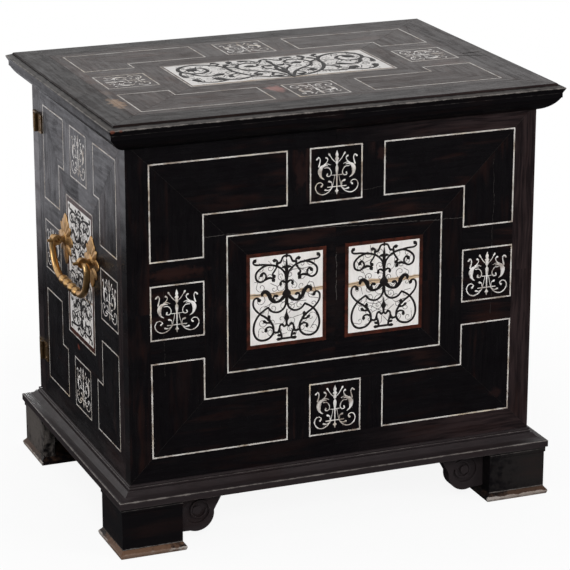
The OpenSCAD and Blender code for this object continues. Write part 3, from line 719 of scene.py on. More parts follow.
def red_stained(name, bone):
    """Red-brown borders, mottled from deep red to near black."""

    def build(place):
        mottle = noise(place, 0.14, 4.0, 0.62)
        fine = noise(place, 0.9, 3.0, 0.6)
        colour = mixed(mottle.ramp(0.36, 0.62), bone.red, bone.red_dark)
        colour = mixed(fine.ramp(0.55, 0.75) * 0.5, colour, bone.red_light)
        return {"Base Color": colour, "Roughness": (fine * 0.2) + 0.25, "Height": fine * 0.03}

    return finish(name, {"Specular IOR Level": 0.2}, build)


def scroll_black(name, bone):
    """The black filling of the engraved scrolls, worn thin and grey in places."""

    def build(place):
        worn = noise(place, 0.35, 4.0, 0.65)
        colour = mixed(worn.ramp(0.56, 0.8) * 0.55, bone.ink, bone.ink_worn)
        return {"Base Color": colour, "Roughness": (worn * 0.2) + 0.35, "Height": worn * 0.02}

    return finish(name, {"Specular IOR Level": 0.15}, build)


def engraved_hairline(name, bone):
    """Fine grey engraving between the scrolls."""

    def build(place):
        worn = noise(place, 0.5, 3.0, 0.6)
        colour = mixed(worn.ramp(0.5, 0.74), bone.engraving, bone.grey)
        return {"Base Color": colour, "Roughness": (worn * 0.1) + 0.4}

    return finish(name, {"Specular IOR Level": 0.2}, build)


# How far the beads and the hollows between them lie from the middle of a handle's bar
BEADS = (7, 20)
BEAD_HOLLOWS = (0, 13.5, 26)
# How far below the pivots the patina of the hollows sets in, and where it is whole
BAR_UNDER = (26, 29)


def gilding(name, handles, gold, dull, hollows=()):
    """Worn gilt brass: gold where it is rubbed, brown patina in clouds, pits and hollows between beads."""

    def build(place):
        _x, y, z = place.parts()
        age = placed("Metal age", {"Position": place})
        colour = mixed(age["Patina"] * dull, gold, handles.patina)
        colour = mixed(age["Pits"] * 0.5, colour, handles.patina)
        for at in hollows:
            hollow = abs(abs(y) - at).ramp(2.6, 0.6) * z.ramp(*(EYE_Z - below for below in BAR_UNDER))
            colour = mixed(hollow * 0.75, colour, handles.patina)
        colour = mixed(age["Rubbed"] * (0.45 * (1 - dull)), colour, handles.rubbed)
        rough = (age["Patina"] * 0.2) + (age["Grain"] * 0.14) + (handles.polish + dull * 0.12)
        height = (age["Pits"] * -0.08) + (age["Grain"] * 0.035) + (age["Patina"] * 0.05)
        return {"Base Color": colour, "Roughness": rough, "Height": height}

    return finish(name, {"Metallic": 1.0}, build)


def dull_iron(name):
    """Grey iron with brown rust."""

    def build(place):
        rust = noise(place, 0.2, 4.0, 0.6)
        grain = noise(place, 1.4, 3.0, 0.6)
        colour = mixed(rust.ramp(0.45, 0.65), (0.13, 0.12, 0.11), (0.09, 0.045, 0.025))
        return {"Base Color": colour, "Roughness": (rust * 0.3) + 0.35, "Height": grain * 0.05}

    return finish(name, {"Metallic": 0.8}, build)


def dress(node, material):
    """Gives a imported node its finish."""
    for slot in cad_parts[node].material_slots:
        slot.material = material


def soften(node, width):
    """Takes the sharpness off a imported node's arrises, which leaves its own mesh as it is."""
    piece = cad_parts[node]
    weld = piece.modifiers.new("Join the faces", "WELD")
    weld.merge_threshold = 0.00001
    bevel = piece.modifiers.new("Ease the arrises", "BEVEL")
    bevel.width = width * MM
    bevel.segments = 2
    bevel.limit_method = "ANGLE"
    bevel.angle_limit = np.radians(40)
    bevel.use_clamp_overlap = True
    normals = piece.modifiers.new("Even shading", "WEIGHTED_NORMAL")
    normals.keep_sharp = False


# Meshes from whole arrays


def make_piece(name, parts, material, body, replaces=()):
    """A mesh piece from parts of points in metres and their faces, riding its body with its finish slot."""
    points = []
    faces = []
    count = 0
    for part_points, part_faces in parts:
        points.append(part_points)
        faces.extend((row + count).tolist() for row in part_faces)
        count += len(part_points)
    mesh = bpy.data.meshes.new(name)
    mesh.from_pydata(np.concatenate(points).tolist(), [], [face for group in faces for face in group])
    mesh.polygons.foreach_set("use_smooth", [True] * len(mesh.polygons))
    mesh.materials.append(material)
    mesh.validate()
    piece = bpy.data.objects.new(name, mesh)
    bpy.context.scene.collection.objects.link(piece)
    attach(piece, body)
    if replaces:
        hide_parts(*replaces)
    return piece


def ring_faces(rows, around):
    """Faces of a closed tube: four-sided ones between rows of points, and one at each end."""
    row, column = np.meshgrid(np.arange(rows - 1), np.arange(around), indexing="ij")
    start = row * around
    following = (column + 1) % around
    corners = [start + column, start + following, start + around + following, start + around + column]
    sides = np.stack(corners, -1).reshape(-1, 4)
    first = np.arange(around)[None]
    return [sides, first[:, ::-1], first + (rows - 1) * around]


def smooth_run(controls, steps):
    """A smooth curve through control points: each span is a cubic set by the points beside it."""
    before = 2 * controls[:1] - controls[1:2]
    after = 2 * controls[-1:] - controls[-2:-1]
    padded = np.concatenate([before, controls, after])
    t = np.linspace(0, 1, steps, endpoint=False)[None, :, None]
    a, b, c, d = (padded[k : len(padded) - 3 + k][:, None, :] for k in range(4))
    cubic = 2 * b + (c - a) * t + (2 * a - 5 * b + 4 * c - d) * t**2 + (3 * b - a - 3 * c + d) * t**3
    return np.concatenate([(cubic / 2).reshape(-1, controls.shape[1]), controls[-1:]])


# The half width of a stroke's very end, and the least of its run
POINT = 0.04
THIN = 0.03
# How deep a stroke is sunk into the face, and the half width from which it has its full height
SINK = 0.3
FULL_WIDTH = 0.3


def rounded_ends(controls):
    """Adds a point past each end by the half width there, so that a stroke ends round."""
    controls = np.array(controls, float)
    first, last = controls[0].copy(), controls[-1].copy()
    for end, beside in ((first, controls[1]), (last, controls[-2])):
        way = end[:2] - beside[:2]
        end[:2] += way / np.linalg.norm(way) * end[2]
        end[2] = POINT
    return np.concatenate([[first], controls, [last]])


def stroke(controls, rise, steps=5, around=6):
    """A raised line on a face, given as across, up and half width. Its section is a low arch, partly sunk."""
    run = smooth_run(rounded_ends(controls), steps)
    half = np.maximum(run[:, 2], THIN)
    way = np.gradient(run[:, :2], axis=0)
    way /= np.linalg.norm(way, axis=1)[:, None]
    beside = np.stack([-way[:, 1], way[:, 0]], 1)
    turn = np.linspace(0, 2 * np.pi, around, endpoint=False) + np.pi / around
    over = np.where(np.sin(turn) > 0, rise, SINK) * np.sin(turn)
    fade = np.minimum(half / FULL_WIDTH, 1)
    flat = run[:, None, :2] + beside[:, None] * (np.cos(turn)[None, :] * half[:, None])[..., None]
    points = np.concatenate([flat, (over[None, :] * fade[:, None])[..., None]], 2)
    return points.reshape(-1, 3), ring_faces(len(run), around)


def both_sides(halves, middles):
    """A symmetrical pattern: strokes of one half, their mirror image, and strokes on the middle line."""
    mirrored = [[(-x, y, w) for x, y, w in line] for line in halves]
    return [*halves, *mirrored, *middles]


def drawn(face, pattern, middle, scale, turn, rise, slim, **detail):
    """A pattern of strokes on a face, scaled, turned by quarter turns and moved to its middle."""
    quarters = np.linalg.matrix_power(np.array([[0, -1], [1, 0]]), turn)
    parts = []
    for line in pattern:
        points, faces = stroke([(x * scale[0], y * scale[1], w * slim) for x, y, w in line], rise, **detail)
        points[:, :2] = points[:, :2] @ quarters.T + middle
        parts.append((face.place(points), faces))
    return parts


# Ornament, as across, up and half width from each pattern's middle

SQUARE_MOTIF = both_sides(
    [
        [(2.2, 11, 0.5), (4.6, 13.6, 0.55), (6.6, 16.6, 0.6), (8.2, 19, 1.45)],
        [(9.4, 7.6, 0.5), (12.4, 7.9, 1.3), (15.6, 6.6, 2.5), (17.4, 3.2, 3.2), (17.2, -0.6, 2.4),
         (15.9, -3.6, 1.3), (13.2, -5.6, 0.4)],
        [(13, 9.2, 0.9), (9.8, 9.4, 0.6), (6.8, 8.2, 0.35)],
        [(12.6, 5.6, 0.6), (8.8, 5.4, 0.6), (6.3, 2.6, 0.6), (5.8, -0.6, 0.6), (7.4, -3, 0.7),
         (10.2, -2.6, 0.8), (9.8, -0.6, 1)],
        [(12.2, 9.4, 0.7), (9.9, 12, 0.6), (9.5, 14.4, 0.7), (11.2, 15.7, 1.35)],
        [(18.6, 7.4, 1.2), (17.6, 11.2, 0.8), (17.2, 14.2, 0.7), (18.5, 16.6, 0.7), (20.6, 14.8, 1.3)],
        [(2.2, -3, 0.35), (3.1, -8, 0.35), (4.6, -14, 0.35)],
        [(0.5, -2.4, 0.5), (5.6, -2.2, 0.4)],
        [(0.5, -13.8, 0.6), (9.2, -13.9, 0.7)],
        [(4.6, -14.2, 0.6), (7.6, -18, 0.7), (11.8, -20.4, 0.8), (16.2, -20.6, 0.8), (20.2, -18, 0.8),
         (22, -13.6, 0.75), (20.4, -9.6, 0.7), (17, -8.6, 0.65), (14.5, -10.6, 0.7), (16, -12.6, 1.35)],
        [(5.8, -15.6, 0.5), (8.8, -17, 0.6), (12, -16.4, 1.3)],
        [(5, -12.6, 0.5), (5.4, -9.4, 0.6), (8, -8.2, 1.5)],
    ],
    [
        [(0, 22, 0.2), (0, 20, 1.2), (0, 17.6, 2.3), (0, 15.6, 1.4)],
        [(0, 15.8, 1), (0, 14, 3.1), (0, 12.2, 1.9), (0, 10.8, 2.5), (0, 9, 1.8), (0, 8, 0.8)],
        [(0, 7.4, 0.7), (0, 5.6, 2), (0, 3.6, 2.3), (0, -3, 1.1), (0, -15, 0.6)],
        [(0, -15.4, 0.7), (0, -16.8, 1.1), (0, -18.2, 2.8), (0, -19.6, 1.1), (0, -21.6, 0.3)],
    ],
)
PLAQUE_MOTIF = both_sides(
    [
        [(0, 40.4, 0.8), (3.4, 39.3, 0.8), (5.1, 36, 0.8), (6.2, 34.3, 0.9), (9.2, 34, 0.9)],
        [(9.2, 34, 0.9), (9.4, 36.4, 0.7), (12, 36.8, 1.5)],
        [(9.4, 34, 0.9), (9.6, 30.5, 0.75), (11.6, 27, 0.75), (13.5, 24, 0.8), (11.9, 21.6, 1.4)],
        [(0.4, 29.5, 1), (2.6, 29.6, 1.1), (4.8, 29.2, 0.3)],
        [(0.6, 18, 0.8), (1.8, 24, 0.8), (6, 29, 0.8), (12, 32, 0.85), (19, 33, 0.85), (26, 30, 0.85),
         (29.8, 25.5, 0.85), (29, 20, 0.85), (25, 17.8, 0.8), (21, 19.6, 0.8), (20, 23.4, 0.8),
         (22.4, 26.2, 0.8), (24.6, 24, 1.4)],
        [(15, 32.6, 0.8), (23, 34, 0.8), (29.8, 34.4, 0.8), (32.4, 36.4, 0.7), (30.6, 38.4, 1.5)],
        [(21.4, 19.4, 0.9), (17, 20.8, 1), (14, 20.2, 0.9), (12.6, 18.2, 1.6)],
        [(0.5, 14.6, 0.9), (3.3, 16.4, 0.8), (5.6, 15.6, 0.8), (5.8, 13.4, 1.2)],
        [(3, 1, 1.6), (7, -2.2, 1.1), (12, -2.6, 1.1), (15.4, 0.6, 1.5), (17, 4.8, 1.8), (20.2, 8.2, 1.5),
         (23.4, 7.4, 1.3), (23.8, 5, 1.1)],
        [(11.4, -2.2, 0.9), (12.8, 1, 0.8), (11.4, 3.4, 0.9), (9.2, 2.8, 1.2)],
        [(0.6, -1, 0.9), (1, -6, 0.85), (3.2, -10, 0.85), (8, -12.6, 0.85), (14, -11.4, 0.8),
         (18, -7.2, 0.8)],
        [(18, -7.2, 0.8), (22, -9.4, 0.8), (27, -13.4, 0.85), (31, -20, 0.9), (32.2, -28, 0.9),
         (29.6, -35, 0.9), (24, -38, 0.9), (17, -36.6, 0.9), (13, -32, 0.9), (13.2, -28, 0.8),
         (16.4, -25.8, 0.8), (19.8, -26.8, 0.8), (20, -29.2, 1.4)],
        [(26.6, 0.4, 1.4), (28.6, 3, 0.8), (31.6, 1.8, 0.8), (32.6, -2.6, 0.8), (30.8, -7.4, 0.8),
         (26, -12.4, 0.85), (20, -16.6, 0.9), (15.8, -21, 0.9), (13, -26, 0.9), (12.8, -31, 0.8)],
        [(15.6, -20.8, 1), (17, -18.6, 0.9), (17.2, -16, 1.4)],
        [(15.6, -21.6, 0.8), (19.2, -21.6, 0.8), (22, -19.8, 1.2)],
        [(0.4, -25.6, 0.8), (2.2, -27, 0.7), (4.2, -24.8, 1), (6.4, -25.8, 0.8), (6.8, -30, 0.85),
         (5.2, -34, 0.85), (4.8, -38.4, 0.85)],
        [(4.8, -38.6, 0.8), (8.4, -38.6, 1.3)],
        [(5.4, -35, 0.8), (8, -34.8, 1.1)],
        [(6.8, -31, 1), (9.6, -32, 0.9), (12.8, -31.2, 0.8)],
        [(7.2, -31, 1.2), (7.4, -28.4, 0.6)],
    ],
    [
        [(0, 41.6, 0.7), (0, 39.6, 1.3)],
        [(0, 37, 0.3), (0, 32, 1), (0, 27.4, 1.4), (0, 20, 0.9)],
        [(0, 20, 1.3), (0, 13, 1.2), (0, 6, 1.4)],
        [(0, 7.6, 2), (0, 4, 3.7), (0, 1, 2)],
        [(0, -10.6, 0.2), (0, -15, 0.9), (0, -19, 2.2), (0, -21.6, 1.1), (0, -25.4, 0.8)],
        [(-4.6, -38.4, 0.8), (4.6, -38.4, 0.8)],
    ],
)
LONG_MOTIF = both_sides(
    [
        [(46, 2, 1), (47, 16, 1.2), (53, 28, 1.2), (66, 36, 1.2), (80, 36, 1.2), (90, 28, 1.2),
         (92, 16, 1.2), (85, 6, 1.2), (75, 4, 1.1), (67, 10, 1.1), (67, 20, 1.1), (74, 25, 1.1),
         (80, 19, 3.6)],
        [(3, -37, 1), (16, -34, 1.1), (30, -26, 1.1), (40, -14, 1.1), (46, 2, 1.1)],
        [(34, -24, 1), (48, -30, 1.1), (60, -29, 1.2), (68, -22, 3)],
        [(60, -29, 1), (74, -34, 1), (86, -30, 1), (90, -20, 2.2)],
        [(86, 6, 1), (80, -6, 1.1), (70, -10, 1.1), (60, -6, 2.4)],
        [(3, -33, 0.9), (9, -20, 1), (20, -9, 1), (32, 0, 1), (37, 12, 1), (32, 23, 1), (22, 27, 1),
         (14, 21, 0.9), (17, 13, 0.9), (25, 14, 2.6)],
        [(0.5, -18, 0.9), (6, -6, 0.9), (13, 3, 0.9), (11, 11, 0.9), (5, 9, 2)],
        [(32, 23, 0.9), (38, 31, 0.9), (36, 37, 2)],
        [(21, -9, 0.9), (28, -13, 0.9), (27, -19, 2.8)],
        [(37, 12, 0.9), (46, 20, 0.9), (42, 27, 1.8)],
        [(12, -18, 0.9), (16, -27, 0.9), (10, -31, 1.9)],
        [(53, 28, 0.9), (48, 33, 0.9), (52, 38, 1.6)],
        [(92, 14, 0.9), (96, 4, 0.9), (94, -6, 1.8)],
        [(44, -8, 0.9), (52, -12, 0.9), (54, -19, 1.8)],
        [(0, 36, 0.9), (5, 34, 0.9), (8, 29, 0.9), (13, 27, 0.9), (16, 35, 0.9), (25, 36, 1.9)],
        [(1, -12, 0.9), (3, -3, 1), (0.8, 5, 0.9)],
    ],
    [
        [(0, 37, 0.8), (0, 34, 1.4)],
        [(0, 31, 0.4), (0, 25, 1.6), (0, 18, 1), (0, 5, 1.2)],
        [(0, -8, 0.5), (0, -16, 2.6), (0, -24, 1.2), (0, -38, 1.4)],
    ],
)


# The squares' motifs: half widths as a share of the pattern's, and their size as a share of the square's
MOTIF_WEIGHT = 0.78
MOTIF_SIZE = 0.95
# The width of the square that their pattern was drawn in
MOTIF_SQUARE = 51.5
# Half the width and height that the patterns of the plaques were drawn in
PLAQUE_DRAWN = (35.3, 42.6)
LONG_DRAWN = (100, 40.5)
# Half the width and height of a plaque of the back
BACK_PLAQUE = np.array([35.35, 41.6])
# How heavy the scrolls of each plaque are drawn
SCROLL_WEIGHT = {
    "back": 1.35, "side_left": 1.4, "side_right": 1.4, "top": 1.9, "door_left": 1.2, "door_right": 1.2,
}
# How many black curls fill the ground of a plaque between its scrolls
FILLING = {"side_left": 46, "side_right": 46, "top": 50}
# How far the ornament of the top stands up, in millimetres: it is worn almost level
TOP_RISE = 0.03
# Small curls: the range of their radius, and of their turn in half turns
CURL_SIZE = (2.8, 5.4)
CURL_TURN = (1.9, 2.7)
# How far in from the plaque's edge their middles and their lines stay
CURL_INSET = 6
CURL_EDGE = 0.7
# Half widths of the curls in the ground and of the fine ones
GROUND_CURL = 0.6
FINE_CURL = 0.36


def small_curls(half, count, seed):
    """Small curls for the ground of a plaque: spirals whose radius shrinks evenly over their turns."""
    chance = np.random.default_rng(seed)
    across = max(1, int(round(np.sqrt(count * half[0] / half[1]))))
    tall = max(1, int(round(count / across)))
    turns = np.linspace(0, 1, 9)
    edge = half[:, None] - CURL_EDGE
    lines = []
    for column in range(across):
        for row in range(tall):
            place = (np.array([column, row]) + 0.5 + chance.uniform(-0.25, 0.25, 2)) / (across, tall) * 2 - 1
            size = chance.uniform(*CURL_SIZE)
            way = chance.choice([-1, 1])
            angle = chance.uniform(0, 2 * np.pi) + way * turns * np.pi * chance.uniform(*CURL_TURN)
            radius = size * (1.15 - turns)
            middle = place * (half - CURL_INSET)
            points = middle[:, None] + radius * np.array([np.cos(angle), np.sin(angle)])
            tail = points[:, :1] + (points[:, :1] - points[:, 1:2]) * 1.2
            points = np.clip(np.concatenate([tail, points], 1), -edge, edge)
            lines.append([(*point, 1.0) for point in points.T])
    return lines


# Handles, hinges and other turned or leaf-shaped metal


def swept_rod(path, radii, side_way, around=20):
    """A round rod along a path that stays in one plane: a circle at each point, square to the path."""
    way = np.gradient(path, axis=0)
    way /= np.linalg.norm(way, axis=1)[:, None]
    beside = np.cross(way, side_way)
    turn = np.linspace(0, 2 * np.pi, around, endpoint=False)
    circle = np.cos(turn)[None, :, None] * side_way + np.sin(turn)[None, :, None] * beside[:, None]
    points = path[:, None] + circle * radii[:, None, None]
    return points.reshape(-1, 3) * MM, ring_faces(len(path), around)


def turned(profile, middle, outward, around=32):
    """A turned knob: a profile of radius and height carried round an axis, closed at both ends."""
    profile = np.array(profile, float)
    first = np.cross(outward, [0.0, 0.0, 1.0] if abs(outward[2]) < 0.5 else [1.0, 0.0, 0.0])
    second = np.cross(outward, first)
    turn = np.linspace(0, 2 * np.pi, around, endpoint=False)
    circle = np.cos(turn)[:, None] * first + np.sin(turn)[:, None] * second
    points = middle + profile[:, 0, None, None] * circle + profile[:, 1, None, None] * outward
    return points.reshape(-1, 3) * MM, ring_faces(len(profile), around)


# The leaves of a handle's plate, upwards, downwards and level: half the angle they spread over, and the
# angle, reach and half angle of each lobe
LEAF_UP = (86, ((0, 21.4, 52), (-27, 16.5, 34), (27, 16.5, 34), (-56, 11, 36), (56, 11, 36)))
LEAF_DOWN = (76, ((0, 21.4, 54), (-36, 12, 40), (36, 12, 40)))
LEAF_LEVEL = (88, ((0, 18.9, 38), (-40, 17, 34), (40, 17, 34), (-72, 9, 28), (72, 9, 28)))
# How far a leaf reaches between its lobes, the thickness of its edge, and a vein's half angle and height
LEAF_ROOT = 3.5
LEAF_EDGE = 0.6
VEIN_ANGLE = 2.6
VEIN_RISE = 0.3


def palmette(lobes, spread, middle, way, outward, crown):
    """A cast leaf of several lobes, each given by its angle, reach and half angle.

    Its reach at an angle is the highest of its lobes. Each falls off from its tip as one less the power 1.5
    of the angle away, as a share of its half angle. The face rises from the edge to a crown between stem and
    tip, and a vein runs along each lobe.
    """
    rows, columns = 73, 14
    angle = np.linspace(-spread, spread, rows)[:, None]
    share = np.linspace(0.1, 1, columns)[None, :]
    bells = [np.clip(1 - (abs(angle - at) / half) ** 1.5, 0, 1) for at, _reach, half in lobes]
    reach = np.max([bell * lobe[1] for bell, lobe in zip(bells, lobes)], 0) + LEAF_ROOT
    vein = np.max([np.exp(-(((angle - lobe[0]) / VEIN_ANGLE) ** 2)) for lobe in lobes], 0)
    swell = np.sin(np.pi * share**0.8)
    top = LEAF_EDGE + crown * swell * (0.35 + 0.65 * np.max(bells, 0)) + VEIN_RISE * vein * (1.1 - share)
    beside = np.cross(outward, way)
    turn = np.radians(angle)
    along = (np.cos(turn) * reach)[..., None] * share[..., None] * way
    across = (np.sin(turn) * reach)[..., None] * share[..., None] * beside
    lower = middle + along + across
    upper = lower + top[..., None] * outward
    section = np.concatenate([upper, lower[:, ::-1]], 1)
    return section.reshape(-1, 3) * MM, ring_faces(rows, 2 * columns)


# Half the thickness of the solid rod at its bar and its arms
BAR_HALF = 3.6
ARM_HALF = 2.6
# The rod's bends, and the pins that end it in the eyes
SHOULDER = 5.0
CORNER = 27.0
PIN_START = 37.6
PIN_RADIUS = 2.2
# How much an arm's radius grows downwards, where the drum ends, and how slowly it ends
ARM_GROWS = 0.3
DRUM_END = 30
DRUM_FADE = 6
# How far a bead and a hollow spread along the bar, and the hollows' depth as a share of the beads' height
BEAD_SPREAD = 3.6
HOLLOW_SPREAD = 1.5
HOLLOW_DEPTH = 0.5
# The profile of the boss between the leaves, as radius and height
BOSS = (
    (9.4, 0), (9.4, 1), (8.6, 1.6), (7.6, 1.5), (6.8, 1.9), (5.4, 2.5), (4.2, 3), (3.05, 3.1), (0.01, 3.1),
)
# The profile of a nail's head, its distance from the leaf's ends and edges, and half the space between two
NAIL = ((1.5, 0), (1.45, 0.3), (1.0, 0.62), (0.5, 0.75), (0.01, 0.8))
NAIL_FROM_END = 9
NAIL_FROM_EDGE = 3.4
NAIL_APART = 5.6
HINGE_THICK = 1.5


def bead_swell(s, at, size, length):
    """Turned beads on a rod: a bell-shaped swelling round each place along it."""
    return sum(size * np.exp(-(((s - spot) / length) ** 2)) for spot in at)


# Values that a user may change


class CabinetWoodFinish(PropertyGroup):
    """Colours and polish of the wood."""

    black: FloatVectorProperty(name="Black", description="Stained ground of the veneer", subtype="COLOR",
                               default=(0.0031, 0.0026, 0.0032))
    brown: FloatVectorProperty(name="Brown", description="Streaks where the stain is thin", subtype="COLOR",
                               default=(0.016, 0.0068, 0.0056))
    fine: FloatVectorProperty(name="Fine grain", description="Fine lines of the grain", subtype="COLOR",
                              default=(0.0062, 0.005, 0.0055))
    joint: FloatVectorProperty(name="Joints", description="Mitre joints and cracks", subtype="COLOR",
                               default=(0.10, 0.09, 0.085))
    faded: FloatVectorProperty(name="Faded", description="Ground of the top, which the light has faded",
                               subtype="COLOR", default=(0.034, 0.0195, 0.0165))
    faded_brown: FloatVectorProperty(name="Faded brown", description="Streaks of the top", subtype="COLOR",
                                     default=(0.07, 0.036, 0.0275))
    # Painted sheen of the outer border, lighter towards one side of each face
    rubbed: FloatVectorProperty(name="Border sheen", description="Painted sheen of the outer border, lighter towards one side of each face",
                                subtype="COLOR", default=(0.026, 0.0165, 0.0165))
    base: FloatVectorProperty(name="Base", description="Base moulding and brackets, dull with handling",
                              subtype="COLOR", default=(0.024, 0.0185, 0.0195))
    dust: FloatVectorProperty(name="Dust", description="Specks of dust", subtype="COLOR",
                              default=(0.11, 0.10, 0.09))
    # Pale colour of the arris lines: a painted highlight, with rubbed wear
    worn: FloatVectorProperty(name="Edge highlight", description="Painted highlight along the arrises, with rubbed wear",
                              subtype="COLOR", default=(0.42, 0.38, 0.35))
    pad: FloatVectorProperty(name="Pads", description="Rubbed brown of the foot pads", subtype="COLOR",
                             default=(0.13, 0.072, 0.045))
    polish: FloatProperty(name="Roughness", description="Roughness of the polished veneer", default=0.3,
                          min=0.05, max=1.0, subtype="FACTOR")
    gloss: FloatProperty(name="Gloss", description="Strength of the reflections in the polish",
                         default=0.115, min=0.0, max=1.0, subtype="FACTOR")
    lacquer: FloatProperty(name="Lacquer", description="Strength of the old lacquer where it is whole",
                           default=1.0, min=0.0, max=1.5)
    ease: FloatProperty(name="Eased arris", description="Width of the eased arrises, in millimetres",
                        default=0.6, min=0.1, max=2.0)


class CabinetInlayFinish(PropertyGroup):
    """Colours of the inlay and the relief of its ornament."""

    white: FloatVectorProperty(name="Bone", description="Polished bone", subtype="COLOR",
                               default=(0.80, 0.775, 0.755))
    line: FloatVectorProperty(name="Line bone", description="Bone of the thin lines", subtype="COLOR",
                              default=(0.60, 0.57, 0.54))
    grey: FloatVectorProperty(name="Grey bone", description="Bone that shows through thin engraving",
                              subtype="COLOR", default=(0.70, 0.67, 0.64))
    yellow: FloatVectorProperty(name="Yellowed bone", description="Yellowed patches", subtype="COLOR",
                                default=(0.55, 0.41, 0.22))
    grime: FloatVectorProperty(name="Grime", description="Brown grime on thin bone", subtype="COLOR",
                               default=(0.17, 0.115, 0.075))
    pore: FloatVectorProperty(name="Pores", description="Short dark pores", subtype="COLOR",
                              default=(0.25, 0.2, 0.15))
    glue: FloatVectorProperty(name="Old glue", description="Stain along a mended crack", subtype="COLOR",
                              default=(0.45, 0.27, 0.10))
    crack: FloatVectorProperty(name="Crack", description="The crack itself", subtype="COLOR",
                               default=(0.06, 0.04, 0.02))
    ink: FloatVectorProperty(name="Black scrolls", description="Black filling of the scrolls",
                             subtype="COLOR", default=(0.012, 0.010, 0.010))
    ink_worn: FloatVectorProperty(name="Worn scrolls", description="Scrolls where the filling is thin",
                                  subtype="COLOR", default=(0.09, 0.08, 0.075))
    engraving: FloatVectorProperty(name="Engraving", description="Fine lines between the scrolls",
                                   subtype="COLOR", default=(0.06, 0.05, 0.045))
    red: FloatVectorProperty(name="Red border", description="Red-brown borders", subtype="COLOR",
                             default=(0.062, 0.0145, 0.0085))
    red_dark: FloatVectorProperty(name="Dark red", description="Dark mottling of the borders",
                                  subtype="COLOR", default=(0.022, 0.008, 0.0055))
    red_light: FloatVectorProperty(name="Light red", description="Light specks of the borders",
                                   subtype="COLOR", default=(0.12, 0.035, 0.02))
    rise: FloatProperty(name="Relief", description="Height of the ornament above the faces, in millimetres",
                        default=0.12, min=0.02, max=0.4)
    curls: IntProperty(name="Fine curls", description="Number of fine curls in a back plaque", default=44,
                       min=4, max=120)


class CabinetHandleShape(PropertyGroup):
    """Shape and colour of the carrying handles."""

    gold: FloatVectorProperty(name="Gold", description="Gilding", subtype="COLOR",
                              default=(0.60, 0.36, 0.145))
    tarnished: FloatVectorProperty(name="Tarnished brass", description="Dull brass of the hinges",
                                   subtype="COLOR", default=(0.20, 0.13, 0.065))
    rubbed: FloatVectorProperty(name="Rubbed gold", description="Bright rubbed gilding", subtype="COLOR",
                                default=(0.86, 0.62, 0.34))
    patina: FloatVectorProperty(name="Patina", description="Brown patina", subtype="COLOR",
                                default=(0.13, 0.065, 0.024))
    polish: FloatProperty(name="Roughness", description="Roughness of the gilding", default=0.2, min=0.05,
                          max=1.0, subtype="FACTOR")
    rod: FloatProperty(name="Rod", description="Radius of the rod at its arms, in millimetres", default=3.0,
                       min=1.5, max=4.0)
    drum: FloatProperty(name="Drum", description="Radius of the rod's middle, in millimetres", default=3.3,
                        min=2.5, max=5.0)
    bead: FloatProperty(name="Beads", description="Height of the turned beads, in millimetres", default=1.3,
                        min=0.0, max=2.0)
    crown: FloatProperty(name="Leaf crown", description="Arch of the leaves, in millimetres", default=1.1,
                         min=0.0, max=3.0)


class CabinetStage(PropertyGroup):
    """Camera and light."""

    lens: FloatProperty(name="Lens", description="Focal length of the camera, in millimetres",
                        default=163.68, min=35.0, max=300.0)
    floor: FloatProperty(name="Floor", description="Half the width of the floor", default=7.0, min=2.0,
                         max=20.0, unit="LENGTH")
    light: FloatProperty(name="Light", description="Strength of all lamps", default=1.0, min=0.1, max=4.0)
    ambient: FloatProperty(name="Ambient", description="Strength of the surrounding light", default=0.42,
                           min=0.0, max=1.0, subtype="FACTOR")


class CABINET_OT_groups(Operator):
    """Make the shared effects of the finishes"""

    bl_idname = "cabinet.groups"
    bl_label = "Shared effects"

    def execute(self, context):
        make_shared_groups()
        return {"FINISHED"}


class CABINET_OT_veneer(Operator):
    """Finish the veneered faces"""

    bl_idname = "cabinet.veneer"
    bl_label = "Veneer"

    def execute(self, context):
        for name, face in FACES.items():
            dress(VENEERED.get(name, name), veneer(face, context.scene.cabinet_wood))
        return {"FINISHED"}


class CABINET_OT_mouldings(Operator):
    """Finish the cornice, the base moulding, the feet, their pads and the brackets"""

    bl_idname = "cabinet.mouldings"
    bl_label = "Mouldings and feet"

    def execute(self, context):
        wood = context.scene.cabinet_wood
        feet = [f"foot_{end}_{side}" for end in ("front", "back") for side in ("left", "right")]
        for name, nodes, ground, shine, patch, ease in (
            ("moulding_cornice", ["cornice_frame"], wood.black, 1.1, (0.13, 0.04, 0.024), 0.7),
            ("moulding_base", ["base_frame"], wood.base, 2.0, None, 0.7),
            # Grey of the feet's patches: dust, and painted sheen on the right front foot
            ("wood_feet", feet, wood.black, 2.4, (0.10, 0.088, 0.08), 1.0),
            ("wood_volutes", ["volute_brackets"], wood.base, 4.5, None, 0.7),
            ("wood_pads", ["foot_pads"], wood.black, 1.1, wood.pad, 0.7),
        ):
            material = moulding_black(name, wood, ground, shine, patch)
            for node in nodes:
                dress(node, material)
                soften(node, wood.ease * ease)
        return {"FINISHED"}


class CABINET_OT_inside(Operator):
    """Finish the boards inside the case, the drawers, the lock and the hinge pins"""

    bl_idname = "cabinet.inside"
    bl_label = "Case and drawers"

    def execute(self, context):
        dark = plain_wood("carcass_dark", (0.026, 0.017, 0.013), (0.012, 0.0085, 0.007), 0.45)
        plain = plain_wood("drawer_wood", (0.27, 0.145, 0.062), (0.13, 0.062, 0.026), 0.38)
        front = plain_wood("drawer_front_wood", (0.25, 0.13, 0.055), (0.10, 0.046, 0.02), 0.3, level=True)
        iron = dull_iron("iron_dull")
        finishes = {
            "top_board": dark, "bottom_board": dark, "partition": plain, "dust_boards_left": plain,
            "dust_boards_right": plain, "lock": iron, "hinge_pins": iron,
        }
        for node, material in finishes.items():
            dress(node, material)
        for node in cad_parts:
            if node.startswith("drawer_"):
                dress(node, front)
                soften(node, 0.5)
        return {"FINISHED"}


